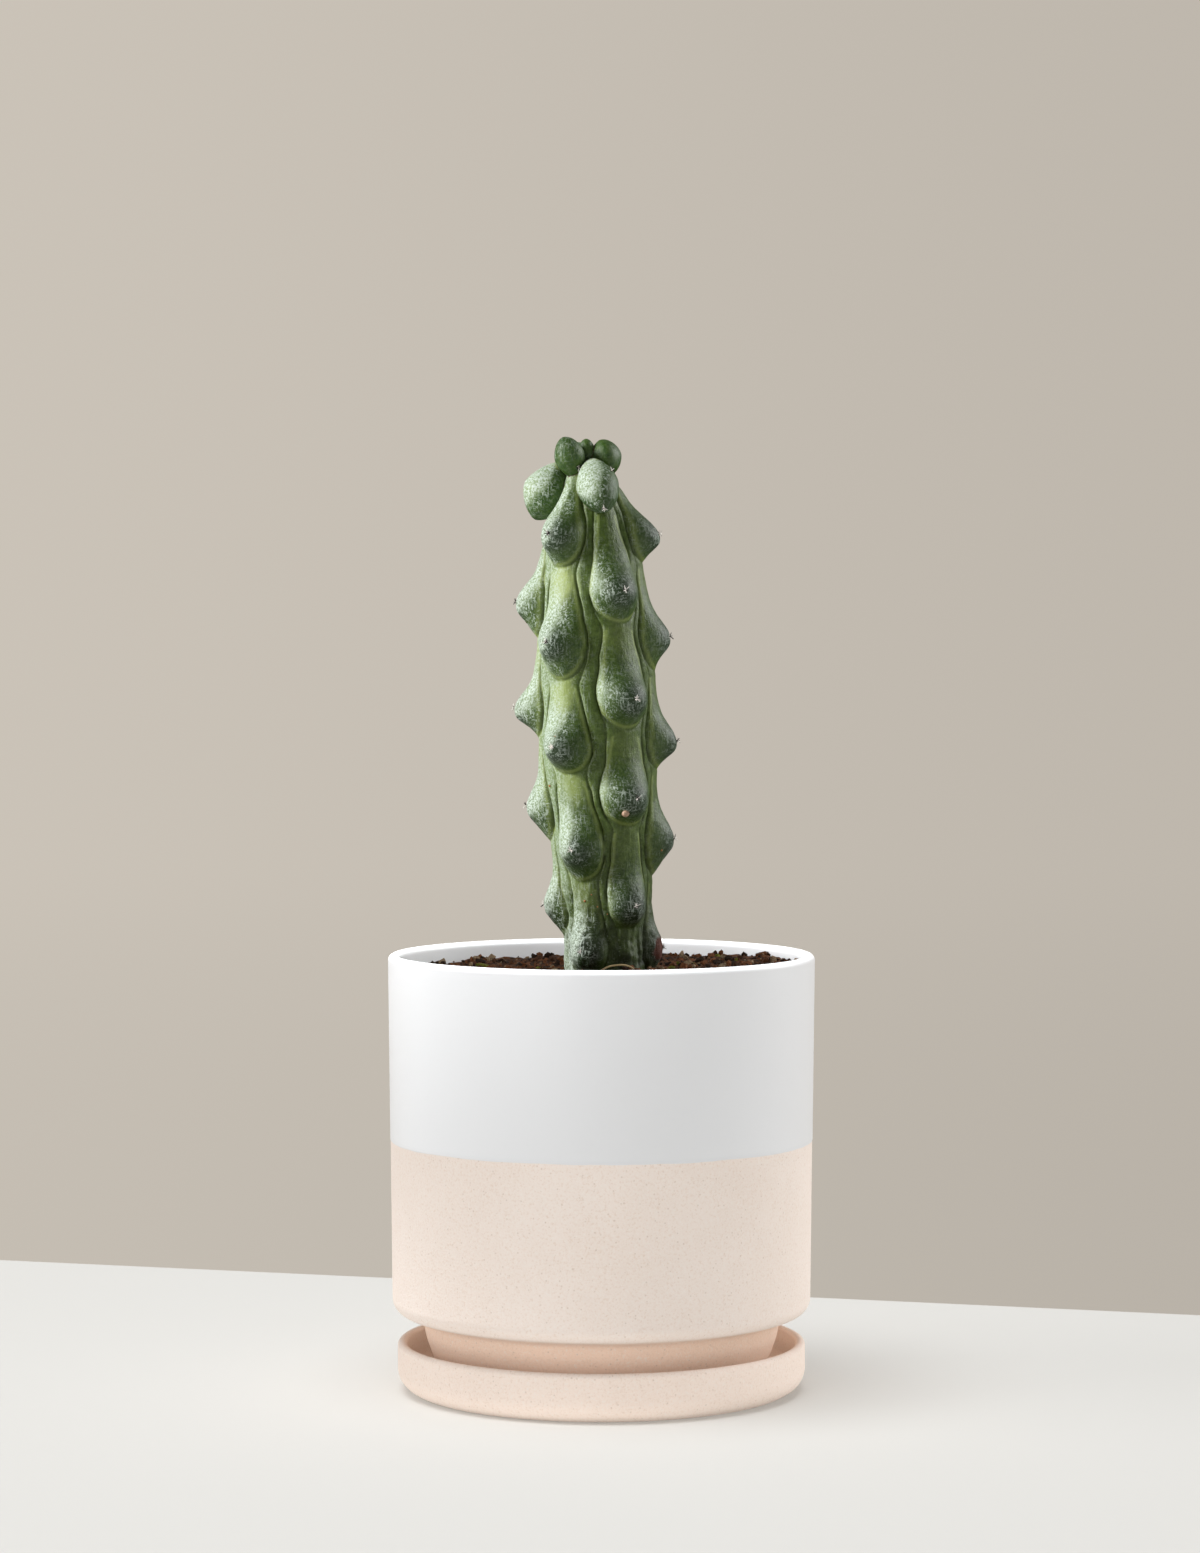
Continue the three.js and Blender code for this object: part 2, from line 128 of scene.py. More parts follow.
# The young lobes of the growing tip: azimuth, then radius and height of the root and of the nose,
# half the width, how pointed both ends are, how dark the nose is, how much painted window light and bloom
# it carries, and for each cluster of spines its share of the way to the nose and its turn round the lobe
CROWN_LOBES = (
    (14, (4.5, 283.2), (17.2, 267.3), 6.4, 1.65, 0.5, 1.15, ((0.42, -36), (0.99, 8))),
    (-95, (8.4, 282.6), (16.9, 265.2), 7.4, 1.5, 0, 1.15, ((0.8, 80),)),
    (166, (6.0, 281.5), (16.5, 267), 6.2, 1.8, 0.5, 1.0, ((0.75, 0),)),
    (-48, (4.3, 277.4), (9.3, 289.9), 4.7, 1.65, 0.3, 0.3, ((0.3, 70),)),
    (96, (0.2, 282.6), (10.5, 285.2), 5.7, 1.6, 0.35, 0.0, ((0.85, 60),)),
    (208, (2, 281), (10, 287.5), 4.4, 1.8, 0.3, 0.6, ((0.75, 0),)),
    (0, (0, 280), (0.9, 289.7), 2.6, 1.9, 0.1, 0.1, ()),
)

# Steps along the stem over which the creases are smoothed, with the share of each
SMOOTHING = ((-3.2, 1 / 9), (-1.6, 2 / 9), (0, 3 / 9), (1.6, 2 / 9), (3.2, 1 / 9))

# How finely the round pieces are turned
ROUND_STEPS = 192

# Heights of the stem's buried rows, the height at which the fine ones begin, the direction of the window
# light that is painted onto the skin of the stem and of its tip, and the middle and the half lengths of the
# cork
BURIED_ROWS = (BURIED_END, 95, 98, 102, 106, 110, 114, 118, 121)
FINE_FROM = 124
STEM_SUN = Vector((-0.92, -0.12, 0.37))
TIP_SUN = Vector((-0.68, -0.42, 0.6))
CORK_PLACE = Vector((19.2, -4.0, 134.5))
CORK_SIZE = (3.6, 8.0, 5.6)

# What sits on the front of the skin: across, up, half its width, how flat it is, and which piece it is
SPECKS = (
    (7.2, 176.8, 1.15, 0.75, "bead"), (-15.6, 184.5, 0.42, 0.6, "speck"), (-5.0, 149.9, 0.42, 0.6, "speck"),
    (-3.0, 151.9, 0.22, 0.6, "speck"), (-1.2, 148.2, 0.25, 0.6, "speck"), (18.2, 164.9, 0.35, 0.5, "speck"),
    (-13.9, 199.8, 0.2, 0.6, "speck"), (1.8, 146.0, 0.2, 0.6, "speck"),
)

# Stage: the camera's sensor in millimetres, how far the camera stands to the right in metres, and which
# way the far edge of the pale floor faces
SENSOR = 36
CAMERA_ASIDE = -0.00044
EDGE_FACING = (0.278, 0.961, 0)
BLACK = (0.0, 0.0, 0.0)

# The lamps: place in metres, size (none for a sun), the pieces that a lamp lights, and those that alone
# cast shadows in its light, where not all of them do
LIGHTS_AIM = Vector((0, 0, 0.14))
SUN_WIDTH = 45
LAMPS = (
    ("plant_key", (-1.77, -0.42, 1.15), 0.65, PLANT_PIECES, None),
    ("plant_rim", (1.5, 0.55, 0.9), 0.8, PLANT_PIECES, None),
    ("plant_fill", (0.9, -1.8, 0.6), 1.2, PLANT_PIECES, None),
    ("left", (-1.65, 0.95, 0.8), 1.2, POT_PIECES, None),
    ("front_left", (-1.09, -1.56, 0.4), 1.4, POT_PIECES, None),
    ("front_right", (0.8, -1.72, 0.4), 1.4, POT_PIECES, None),
    ("right", (1.6, 0.58, 0.9), 1.2, POT_PIECES, None),
    ("rim", (-0.12, -0.02, 0.6), 0.3, "pot", "pot"),
    ("low", (-0.1, -1.5, 0.04), 0.6, "saucer", None),
    ("side", (-1.7, -0.4, 1.1), 1.3, "floor", None),
    ("top", (-0.3, -0.4, 2.4), None, "floor", None),
    ("around", (-0.3, -0.4, 2.4), None, "floor", "floor"),
)


def srgb(*values):
    """Linear red, green and blue from the values that a screen shows"""
    return tuple(c / 12.92 if c <= 0.04045 else ((c + 0.055) / 1.055) ** 2.4 for c in values)


def number(name, description, default, high=400.0, **more):
    """A setting that is a number from zero up"""
    return bpy.props.FloatProperty(
        name=name, description=description, default=default, min=0.0, max=high, **more
    )


def millimetres(name, description, default):
    """A size of the object, kept in millimetres"""
    return number(name, description, default, precision=2)


def colour(name, description, *default):
    """A colour, given as a screen shows it and kept as linear red, green and blue"""
    return bpy.props.FloatVectorProperty(
        name=name, description=description, default=srgb(*default),
        size=3, min=0.0, max=1.0, subtype="COLOR",
    )


def power(name, description, default):
    """The power of a lamp"""
    return number(name, description, default, unit="POWER")


class PlantSettings(bpy.types.PropertyGroup):
    """Sizes and colours of the plant"""

    half_width: millimetres("Tubercle half width", "Half the width of a tubercle at its nose", 8.7)
    least_band: millimetres("Band", "Least width of the band between the two creases of a furrow", 2.2)
    nose_share: number("Nose share", "Share of a tubercle that is its nose", 0.42, 1.0, subtype="FACTOR")
    droop: number("Droop", "How far a tubercle sinks for each unit that it stands out", 0.24, 1.0)
    rib_crown: millimetres("Rib crown", "How far a bare rib bulges between its furrows", 0.55)
    crease_depth: millimetres("Crease depth", "Depth of the two fine creases of a furrow", 0.48)
    outline_depth: millimetres("Outline depth", "Depth of the crease round a tubercle's lower end", 0.48)
    spine_length: millimetres("Spine length", "Length of the longest spines", 1.5)
    valley_colour: colour("Saddles", "Fresh skin in the saddle below each tubercle", 0.595, 0.655, 0.37)
    # Used for the skin's lighter mottle, and also as painted light on the skin that faces the window
    light_colour: colour("Light skin", "The lighter of the two greens of the skin", 0.425, 0.515, 0.235)
    band_colour: colour("Bands", "Olive green skin between the tubercles", 0.205, 0.28, 0.03)
    body_colour: colour("Tubercles", "Bluish green skin of the tubercles", 0.16, 0.255, 0.05)
    # The noses' darker skin, which the material also uses as painted shade on the side away from the window
    nose_colour: colour("Noses", "Skin on the noses of the tubercles", 0.115, 0.19, 0.09)
    # Painted shade deep in the creases, and painted light on the creases that face the window
    crease_shade_colour: colour("Creases", "Skin deep in the creases", 0.12, 0.155, 0.045)
    crease_sunlight_colour: colour("Sunny creases", "Creases towards the window", 0.52, 0.56, 0.24)
    young_colour: colour("Young skin", "Fresh green skin of the lobes of the tip", 0.145, 0.285, 0.045)
    low_stem_colour: colour("Old skin", "Skin on the lowest stretch of the stem", 0.07, 0.10, 0.01)
    # Also used for the frost on skin facing the window, which is partly bloom and partly painted light
    bloom_colour: colour("Bloom", "Waxy whitish bloom and scratches on the skin", 0.765, 0.815, 0.765)
    cork_colour: colour("Cork", "Corky brown skin of the oldest tubercle", 0.31, 0.125, 0.05)


class PotSettings(bpy.types.PropertyGroup):
    """Sizes and colours of the pot and the saucer"""

    wall: millimetres("Wall", "Thickness of the pot's wall", 3.5)
    glaze_line: millimetres("Glaze line", "Height of the lower edge of the white glaze", 76.6)
    glaze_depth: millimetres("Glaze depth", "How far the glaze stands out from the bare clay", 0.12)
    wall_underside: millimetres("Wall underside", "Height at which the wall steps in to the foot", 23.6)
    wall_corner: millimetres("Wall corner", "Radius of the wall's lower corner", 4.8)
    foot_top: millimetres("Foot top radius", "Radius of the foot where it leaves the wall", 54.4)
    foot_base: millimetres("Foot base radius", "Radius of the foot on the saucer", 48)
    drain_hole: millimetres("Drain hole radius", "Radius of the hole in the pot's base", 6)
    saucer_wall: millimetres("Saucer wall", "Thickness of the saucer's wall", 2.9)
    glaze_colour: colour("Glaze", "White satin glaze", 0.915, 0.92, 0.93)
    clay_colour: colour("Clay", "Bare blush stoneware of the wall", 0.972, 0.922, 0.888)
    foot_colour: colour("Foot clay", "Peachier stoneware of the foot", 0.99, 0.88, 0.80)
    saucer_colour: colour("Saucer clay", "Bare stoneware of the saucer", 0.985, 0.92, 0.875)
    grain_colour: colour("Grain", "Fine grains in the bare stoneware", 0.90, 0.81, 0.74)


class SoilSettings(bpy.types.PropertyGroup):
    """Sizes and colours of the soil and of what lies on it"""

    height: millimetres("Height", "Height of the soil beside the stem", 127.4)
    rise: millimetres("Rise", "How much higher the soil lies at the right", 2)
    crumbs: bpy.props.IntProperty(
        name="Crumbs", description="How many loose crumbs lie on the soil", default=1500, min=0, max=4000
    )
    dark_colour: colour("Dark soil", "Damp peat", 0.235, 0.16, 0.105)
    red_colour: colour("Bark", "Red-brown bits of bark", 0.54, 0.34, 0.21)
    pale_colour: colour("Pale bits", "Dry pale bits and fibres", 0.68, 0.58, 0.46)
    moss_colour: colour("Moss", "Yellow-green bits of moss", 0.55, 0.55, 0.22)


class StageSettings(bpy.types.PropertyGroup):
    """Camera, light and floor"""

    camera_distance: number("Camera distance", "From the camera to the pot's axis", 1.25, unit="LENGTH")
    camera_height: number("Camera height", "Height of the camera above the floor", 0.23045, unit="LENGTH")
    camera_pitch: number("Camera pitch", "How far the camera looks down", 0.0347, 1.5, unit="ROTATION")
    lens: number("Lens", "Focal length in millimetres, for a sensor 36 mm on its long side", 95.22)
    plant_key: power("Plant's side light", "Light on the plant from the left", 59.5)
    plant_rim: power("Plant's edge light", "Light on the plant's right edge", 28)
    plant_fill: power("Plant's front light", "Weak light on the plant from the front", 1)
    left: power("Left light", "Light on the pot from behind its left side", 11.5)
    front_left: power("Front left light", "Low light on the pot from the front left", 12.8)
    front_right: power("Front right light", "Low light on the pot from the front right", 4.4)
    right: power("Right light", "Light on the pot from behind its right side", 21.5)
    rim: power("Rim light", "Light on the inside of the pot's rim", 5.5)
    low: power("Low light", "Weak low light on the front of the saucer", 2.4)
    side: power("Floor's side light", "Light on the floor from the left", 9.2)
    top: number("Floor's top light", "Strength of the soft light on the floor from above", 1.96)
    around: number("Floor's room light", "Strength of the shadowless light on the floor", 1.43)
    sky: number("Sky", "Strength of the even light from all round", 0.148)
    edge_distance: number("Pale floor", "How far behind the pot the pale floor ends", 0.184, unit="LENGTH")
    floor_colour: colour("Floor", "Plain pale floor", 0.80, 0.796, 0.783)
    backdrop_colour: colour("Backdrop", "Plain warm grey above the floor", 0.785, 0.755, 0.712)


class Finish:
    """A material under construction: each method adds a node and returns what it puts out"""

    def __init__(self, name, roughness, specular=0.5):
        self.material = bpy.data.materials.new(name)
        self.material.use_nodes = True
        self.tree = self.material.node_tree
        self.tree.nodes.clear()
        inputs = {"Roughness": roughness, "Specular IOR Level": specular}
        self.shader = self.add("ShaderNodeBsdfPrincipled", inputs)
        self.add("ShaderNodeOutputMaterial", {"Surface": self.shader.outputs["BSDF"]})
        self.place = self.add("ShaderNodeTexCoord").outputs["Object"]

    def add(self, kind, inputs=(), **settings):
        """A node with its settings, and its inputs linked or set"""
        made = self.tree.nodes.new(kind)
        for setting, value in settings.items():
            setattr(made, setting, value)
        for socket, value in dict(inputs).items():
            self.set(made.inputs[socket], value)
        return made

    def set(self, socket, value):
        """Links a socket, or sets its value"""
        if isinstance(value, bpy.types.NodeSocket):
            self.tree.links.new(value, socket)
        elif socket.type == "RGBA" and len(value) == 3:
            socket.default_value = (*value, 1.0)
        else:
            socket.default_value = value

    def noise(self, size_mm, detail=3.0, rough=0.55, stretch=(1, 1, 1), turn=(0, 0, 0)):
        """Noise with features of a size in millimetres, drawn out along the axes"""
        place = self.place
        if stretch != (1, 1, 1) or turn != (0, 0, 0):
            scale = [1 / part for part in stretch]
            inputs = {"Vector": place, "Scale": scale, "Rotation": turn}
            place = self.add("ShaderNodeMapping", inputs, vector_type="POINT").outputs["Vector"]
        inputs = {"Vector": place, "Scale": 1 / (size_mm * MM), "Detail": detail, "Roughness": rough}
        return self.add("ShaderNodeTexNoise", inputs).outputs["Fac"]

    def cells(self, size_mm):
        """How far a place is from the middle of its cell, for cells of a size in millimetres"""
        inputs = {"Vector": self.place, "Scale": 1 / (size_mm * MM)}
        return self.add("ShaderNodeTexVoronoi", inputs).outputs["Distance"]

    def attribute(self, name):
        """The four values that a layer of the mesh carries"""
        read = self.add("ShaderNodeAttribute", attribute_name=name).outputs
        return *self.add("ShaderNodeSeparateColor", {"Color": read["Color"]}).outputs, read["Alpha"]

    def ramp(self, value, low, high, to_low=0.0, to_high=1.0):
        """A value carried smoothly from one range to another"""
        inputs = {0: value, 1: low, 2: high, 3: to_low, 4: to_high}
        made = self.add("ShaderNodeMapRange", inputs, interpolation_type="SMOOTHSTEP")
        return made.outputs["Result"]

    def maths(self, operation, first, second):
        """What a calculation makes of two values"""
        return self.add("ShaderNodeMath", {0: first, 1: second}, operation=operation).outputs[0]

    def times(self, first, second):
        """The product of two values"""
        return self.maths("MULTIPLY", first, second)

    def plus(self, first, second):
        """The sum of two values"""
        return self.maths("ADD", first, second)

    def most(self, first, second):
        """The larger of two values"""
        return self.maths("MAXIMUM", first, second)

    def height(self):
        """Height above the floor"""
        return self.add("ShaderNodeSeparateXYZ", {"Vector": self.place}).outputs["Z"]

    def mix(self, share, first, second, blend="MIX"):
        """A colour between two others, or the first one changed by the second"""
        made = self.add("ShaderNodeMix", data_type="RGBA", blend_type=blend)
        self.set(made.inputs["Factor"], share)
        self.set(made.inputs[6], first)
        self.set(made.inputs[7], second)
        return made.outputs[2]

    def layers(self, base, *layers):
        """A colour with others laid over it in turn, each with its share"""
        for share, tint in layers:
            base = self.mix(share, base, tint)
        return base

    def bump(self, height, depth_mm):
        """Relief of a depth in millimetres for heights from 0 to 1"""
        inputs = {"Height": height, "Distance": depth_mm * MM, "Strength": 1.0}
        return self.add("ShaderNodeBump", inputs).outputs["Normal"]

    def finish(self, base, **sockets):
        """The material, with its colour and other sockets of the shader linked or set"""
        for socket, value in {"Base_Color": base, **sockets}.items():
            self.set(self.shader.inputs[socket.replace("_", " ")], value)
        return self.material


def cactus_skin(plant):
    """Waxy green skin: pale saddles, dark noses, whitish bloom and scratches, old cork; painted light on the
    side facing the window, painted shade in the creases and noses
    """
    skin = Finish("cactus_skin", 0.5, 0.35)
    nose, saddle, age, _ = skin.attribute("skin_marks")
    crease, body, cork, lip = skin.attribute("skin_lines")
    sun, young, *_ = skin.attribute("skin_sun")
    patches = skin.noise(8, detail=4)
    mottle = skin.noise(1.4, detail=6, rough=0.75)
    cloud = skin.ramp(skin.noise(3.4, detail=5, rough=0.75), 0.38, 0.62)
    powder = skin.noise(0.62, detail=2, rough=0.7)
    scratches = skin.noise(0.55, detail=2, rough=0.5, stretch=(1, 1, 7), turn=(0.25, 0.55, 0.3))
    crossing = skin.noise(0.6, detail=2, rough=0.5, stretch=(6, 1, 1), turn=(0.4, 0.9, 0.8))

    # Painted light: the skin that faces the window is painted lighter, in patches
    painted_sunlight = skin.times(skin.ramp(sun, 0.5, 1.0), skin.ramp(patches, 0.3, 0.7, 0.6, 0.95))
    # Pale fresh skin of the saddles, more of it higher up; it is stronger on skin facing the window, which
    # is painted light
    fresh = skin.plus(saddle, skin.ramp(patches, 0.3, 0.7, -0.25, 0.2))
    fresh = skin.times(skin.ramp(fresh, 0.05, 1.0), skin.ramp(skin.height(), 0.15, 0.25, 0.35, 0.95))
    fresh = skin.times(fresh, skin.ramp(sun, 0.08, 0.6, 0.15, 1.0))
    # The noses' darker skin, full away from the window and halved facing it: partly their own colour, partly
    # painted shade
    shade = skin.plus(nose, skin.ramp(mottle, 0.3, 0.7, -0.16, 0.16))
    shade = skin.times(skin.ramp(shade, 0.12, 0.8, 0.0, 0.9), skin.ramp(sun, 0.5, 0.95, 1.0, 0.5))
    # Darker skin towards the foot of the stem, in patches
    worn = skin.times(age, skin.ramp(patches, 0.35, 0.6, 0.35, 0.85))

    strokes = skin.most(skin.ramp(scratches, 0.57, 0.61), skin.ramp(crossing, 0.6, 0.64, 0.0, 0.9))
    marks = skin.most(skin.ramp(powder, 0.53, 0.62, 0.0, 0.8), strokes)
    raised = skin.most(body, skin.times(age, 0.35))
    # Bloom flecks show more on skin facing the window: real flecks, with painted light in their stronger
    # show there
    lit = skin.most(skin.ramp(sun, 0.0, 0.6, 0.17, 1.0), skin.times(nose, 0.72))
    amount = skin.times(skin.ramp(raised, 0.0, 0.7, 0.25, 0.8), lit)
    speckle = skin.times(marks, skin.times(skin.ramp(cloud, 0.0, 1.0, 0.25, 1.0), amount))
    # Whitish frost only on skin facing the window: partly thicker bloom, partly painted light
    frost_and_painted_sun = skin.times(skin.ramp(powder, 0.4, 0.61, 0.2, 1.0), skin.ramp(sun, 0.58, 0.96))
    frost_and_painted_sun = skin.times(frost_and_painted_sun, skin.ramp(raised, 0.0, 0.5, 0.6, 1.0))
    # The bloom and scratches, with the painted light of the frost on the sunward skin
    bloom = skin.most(speckle, frost_and_painted_sun)

    base = skin.layers(
        plant.band_colour,
        (skin.ramp(body, 0.1, 0.75), plant.body_colour),
        (young, plant.young_colour),
        (skin.ramp(mottle, 0.36, 0.66, 0.0, 0.36), plant.light_colour),
        (painted_sunlight, plant.light_colour),
        (fresh, plant.valley_colour),
        # A pale line inside each tubercle's outline: partly paler skin, partly a painted highlight on the
        # edge
        (skin.times(lip, 0.45), plant.valley_colour),
        (shade, plant.nose_colour),
        (worn, plant.low_stem_colour),
        (bloom, plant.bloom_colour),
        # Painted shade in the creases and round each tubercle's lower end, turning to painted light where
        # they face the window
        (
            skin.times(crease, skin.ramp(patches, 0.3, 0.6, 0.2, 0.52)),
            skin.mix(skin.ramp(sun, 0.35, 0.7), plant.crease_shade_colour, plant.crease_sunlight_colour),
        ),
        (skin.times(cork, 0.95), plant.cork_colour),
    )
    roughness = skin.ramp(skin.most(bloom, cork), 0.0, 0.8, 0.46, 0.76)
    fine = skin.plus(skin.times(mottle, 0.7), skin.times(scratches, 0.5))
    fine = skin.plus(fine, skin.times(powder, 0.35))
    rugged = skin.times(skin.noise(1.6, detail=6, rough=0.7), skin.plus(age, cork))
    return skin.finish(base, Roughness=roughness, Normal=skin.bump(skin.plus(fine, rugged), 0.26))


def plain_finish(name, base, roughness, grain_mm, depth_mm, shade=0.25):
    """A small plain finish whose colour varies a little with its grain"""
    made = Finish(name, roughness)
    grain = made.noise(grain_mm, detail=4)
    dark = tuple(part * (1 - shade) for part in base)
    tint = made.mix(made.ramp(grain, 0.3, 0.7), dark, tuple(base))
    return made.finish(tint, Normal=made.bump(grain, depth_mm))


def two_tone_pot(pot):
    """White satin glaze above the glaze line, bare grained clay below it"""
    fired = Finish("two_tone_stoneware", 0.5, 0.4)
    height = fired.height()
    wander = fired.ramp(fired.noise(14, detail=2), 0.3, 0.7, -0.12 * MM, 0.12 * MM)
    line = fired.plus(height, wander)
    glazed = fired.ramp(line, (pot.glaze_line - 0.12) * MM, (pot.glaze_line + 0.12) * MM)
    tint = fired.mix(fired.ramp(height, 0.0215, 0.0245), pot.foot_colour, pot.clay_colour)
    clay, clay_bump = bare_clay(fired, pot, tint)
    pooled = fired.ramp(line, (pot.glaze_line + 0.2) * MM, (pot.glaze_line + 1.6) * MM, 0.94, 1.0)
    mist = fired.ramp(fired.noise(1.1, detail=3), 0.62, 0.78, 1.0, 0.965)
    thin = tuple(0.6 * part for part in pot.glaze_colour)
    glaze = fired.mix(fired.times(pooled, mist), thin, pot.glaze_colour)
    roughness = fired.ramp(glazed, 0.0, 1.0, 0.82, 0.34)
    relief = fired.mix(glazed, clay_bump, fired.ramp(fired.noise(2.4, detail=2), 0.0, 1.0, 0.45, 0.55))
    base = fired.mix(glazed, clay, glaze)
    return fired.finish(base, Roughness=roughness, Normal=fired.bump(relief, 0.12))


def bare_clay(fired, pot, tint):
    """Colour and relief of unglazed stoneware, with fine pale and dark grains"""
    broad = fired.noise(30, detail=3)
    grains = fired.noise(0.7, detail=3, rough=0.7)
    dark = tuple(0.8 * part for part in pot.grain_colour)
    base = fired.layers(
        tint,
        (fired.ramp(broad, 0.35, 0.65, 0.0, 0.1), pot.grain_colour),
        (fired.ramp(grains, 0.52, 0.7, 0.0, 0.5), pot.grain_colour),
        (fired.ramp(grains, 0.48, 0.32, 0.0, 0.5), (0.95, 0.88, 0.82)),
        (fired.ramp(fired.cells(2.1), 0.17, 0.07, 0.0, 0.45), dark),
    )
    return base, grains


def bare_stoneware(pot):
    """Unglazed stoneware all over"""
    fired = Finish("bare_stoneware", 0.82, 0.3)
    base, grains = bare_clay(fired, pot, pot.saucer_colour)
    return fired.finish(base, Normal=fired.bump(grains, 0.12))


def damp_soil(soil):
    """Dark peat with brown and pale fibres"""
    earth = Finish("damp_soil", 0.9, 0.25)
    lumps = earth.noise(2.5, detail=6, rough=0.7)
    fibres = earth.noise(0.9, detail=3, stretch=(4, 1, 1), turn=(0, 0, 0.9))
    base = earth.layers(
        soil.dark_colour,
        (earth.ramp(lumps, 0.45, 0.62), soil.red_colour),
        (earth.ramp(fibres, 0.62, 0.72, 0.0, 0.5), soil.pale_colour),
    )
    return earth.finish(base, Normal=earth.bump(lumps, 1.0))


def crumb_finish(soil):
    """Each crumb is peat, bark, a pale bit or moss, as its own mark says"""
    earth = Finish("soil_crumb", 0.88, 0.25)
    kind = earth.attribute("crumb_kind")[0]
    grain = earth.noise(0.6, detail=4)
    base = earth.layers(
        soil.dark_colour,
        (earth.ramp(kind, 0.3, 0.62), soil.red_colour),
        (earth.ramp(kind, 0.8, 0.86), soil.pale_colour),
        (earth.ramp(kind, 0.968, 0.972), soil.moss_colour),
    )
    dim = earth.mix(earth.ramp(grain, 0.35, 0.65), (0.35, 0.35, 0.35), (1.0, 1.0, 1.0))
    return earth.finish(earth.mix(0.8, base, dim, "MULTIPLY"), Normal=earth.bump(grain, 0.3))


def smooth(low, high, value):
    """0 below low, 1 above high and a smooth curve between"""
    share = min(1.0, max(0.0, (value - low) / (high - low)))
    return share * share * (3 - 2 * share)


def bell(value, reach):
    """1 at zero, falling off evenly on both sides"""
    return math.exp(-((value / reach) ** 2))


def dome(value, reach):
    """1 at zero, curving down to 0 at the reach"""
    return max(0.0, 1 - (value / reach) ** 2)


def drift(x, y, z):
    """Smooth noise about 0 at a place"""
    return noise.noise(Vector((x, y, z)))


def along(stations, height):
    """Reads a smooth curve through the stations at one height"""
    last = len(stations) - 1
    height = min(stations[last][0], max(stations[0][0], height))
    after = max(1, next(i for i in range(last + 1) if stations[i][0] >= height))
    (z0, v0), (z1, v1) = stations[after - 1], stations[after]
    z_before, v_before = stations[max(0, after - 2)]
    z_after, v_after = stations[min(last, after + 1)]
    span = z1 - z0
    slope0 = (v1 - v_before) / (z1 - z_before) * span
    slope1 = (v_after - v0) / (z_after - z0) * span
    t = (height - z0) / span
    bend = (1 - t) ** 2 * t * slope0 - (1 - t) * t * t * slope1
    return v0 * (1 + 2 * t) * (1 - t) ** 2 + v1 * t * t * (3 - 2 * t) + bend


class Tubercle:
    """What covers a rib at one height: how far it stands out, how wide it is and what lies near

    stand, swell and width say how far out and how wide it is here, and rise how far above its nose this
    is. low and down place the crease round its lower end, and outline is how deep that is. calm fades
    the creases of the furrow beside it, and saddle marks the fresh skin below it.
    """

    swell_above = 2.3
    swell_below = 1.4
    fullness = 2.6
    edge_below = 1.15
    rounding = 0.2
    narrowing = 0.42
    top_gap = 1.0
    highest_reach = 21.5
    groove_reach = 2.0
    saddle_drop = 2.5
    saddle_above = 4.0
    saddle_below = 8.0

    def __init__(self, plant, noses, height):
        self.stand = self.swell = self.width = self.rise = self.saddle = 0.0
        self.low = self.down = self.outline = 0.0
        self.calm = 1.0
        for i, (nose, _, foot, stand, full) in enumerate(noses):
            sunk = plant.droop * stand
            rise, down = height - nose - sunk, foot + sunk
            up = self.highest_reach
            if i + 1 < len(noses):
                up = noses[i + 1][0] - noses[i + 1][2] - nose - sunk - self.top_gap
            below = rise + down + self.saddle_drop
            self.saddle += bell(below, self.saddle_above if below > 0 else self.saddle_below)
            if -down < rise < up:
                self.stand, self.rise = stand, rise
                self.shape(rise / up if rise > 0 else -rise / down, full)
            if -down - self.groove_reach < rise < 0:
                self.low, self.down = -rise / down, down
                self.outline = smooth(0.1, 0.38, self.low) * (1 - 0.75 * smooth(0.6, 1.0, self.low))

    def shape(self, share, full):
        """The swell and the width at a share of the reach above or below the nose"""
        if self.rise > 0:
            end = math.hypot(1, self.rounding) - self.rounding
            eased = (math.hypot(share, self.rounding) - self.rounding) / end
            self.swell = max(0.0, 1 - eased) ** self.swell_above
            self.width = 1 - self.narrowing * share
            self.calm = smooth(0.7, 1.0, share)
        else:
            slack = math.cos(math.pi / 2 * share) ** self.swell_below
            taut = (1 - share**self.fullness) ** self.edge_below
            self.swell = slack + (taut - slack) * full
            self.width = math.sqrt(1 - share * share)
            self.calm = smooth(0.25, 0.75, share)


def crease_reach(plant, noses, height):
    """How far from the middle of a rib its crease runs, as a share of the widest, smoothed"""
    total = 0.0
    for shift, weight in SMOOTHING:
        here = Tubercle(plant, noses, height + shift)
        share = here.width if here.rise >= 0 else math.sqrt(0.34 + 0.66 * here.width**2)
        total += weight * (share if here.stand else 1 - here.narrowing)
    return total


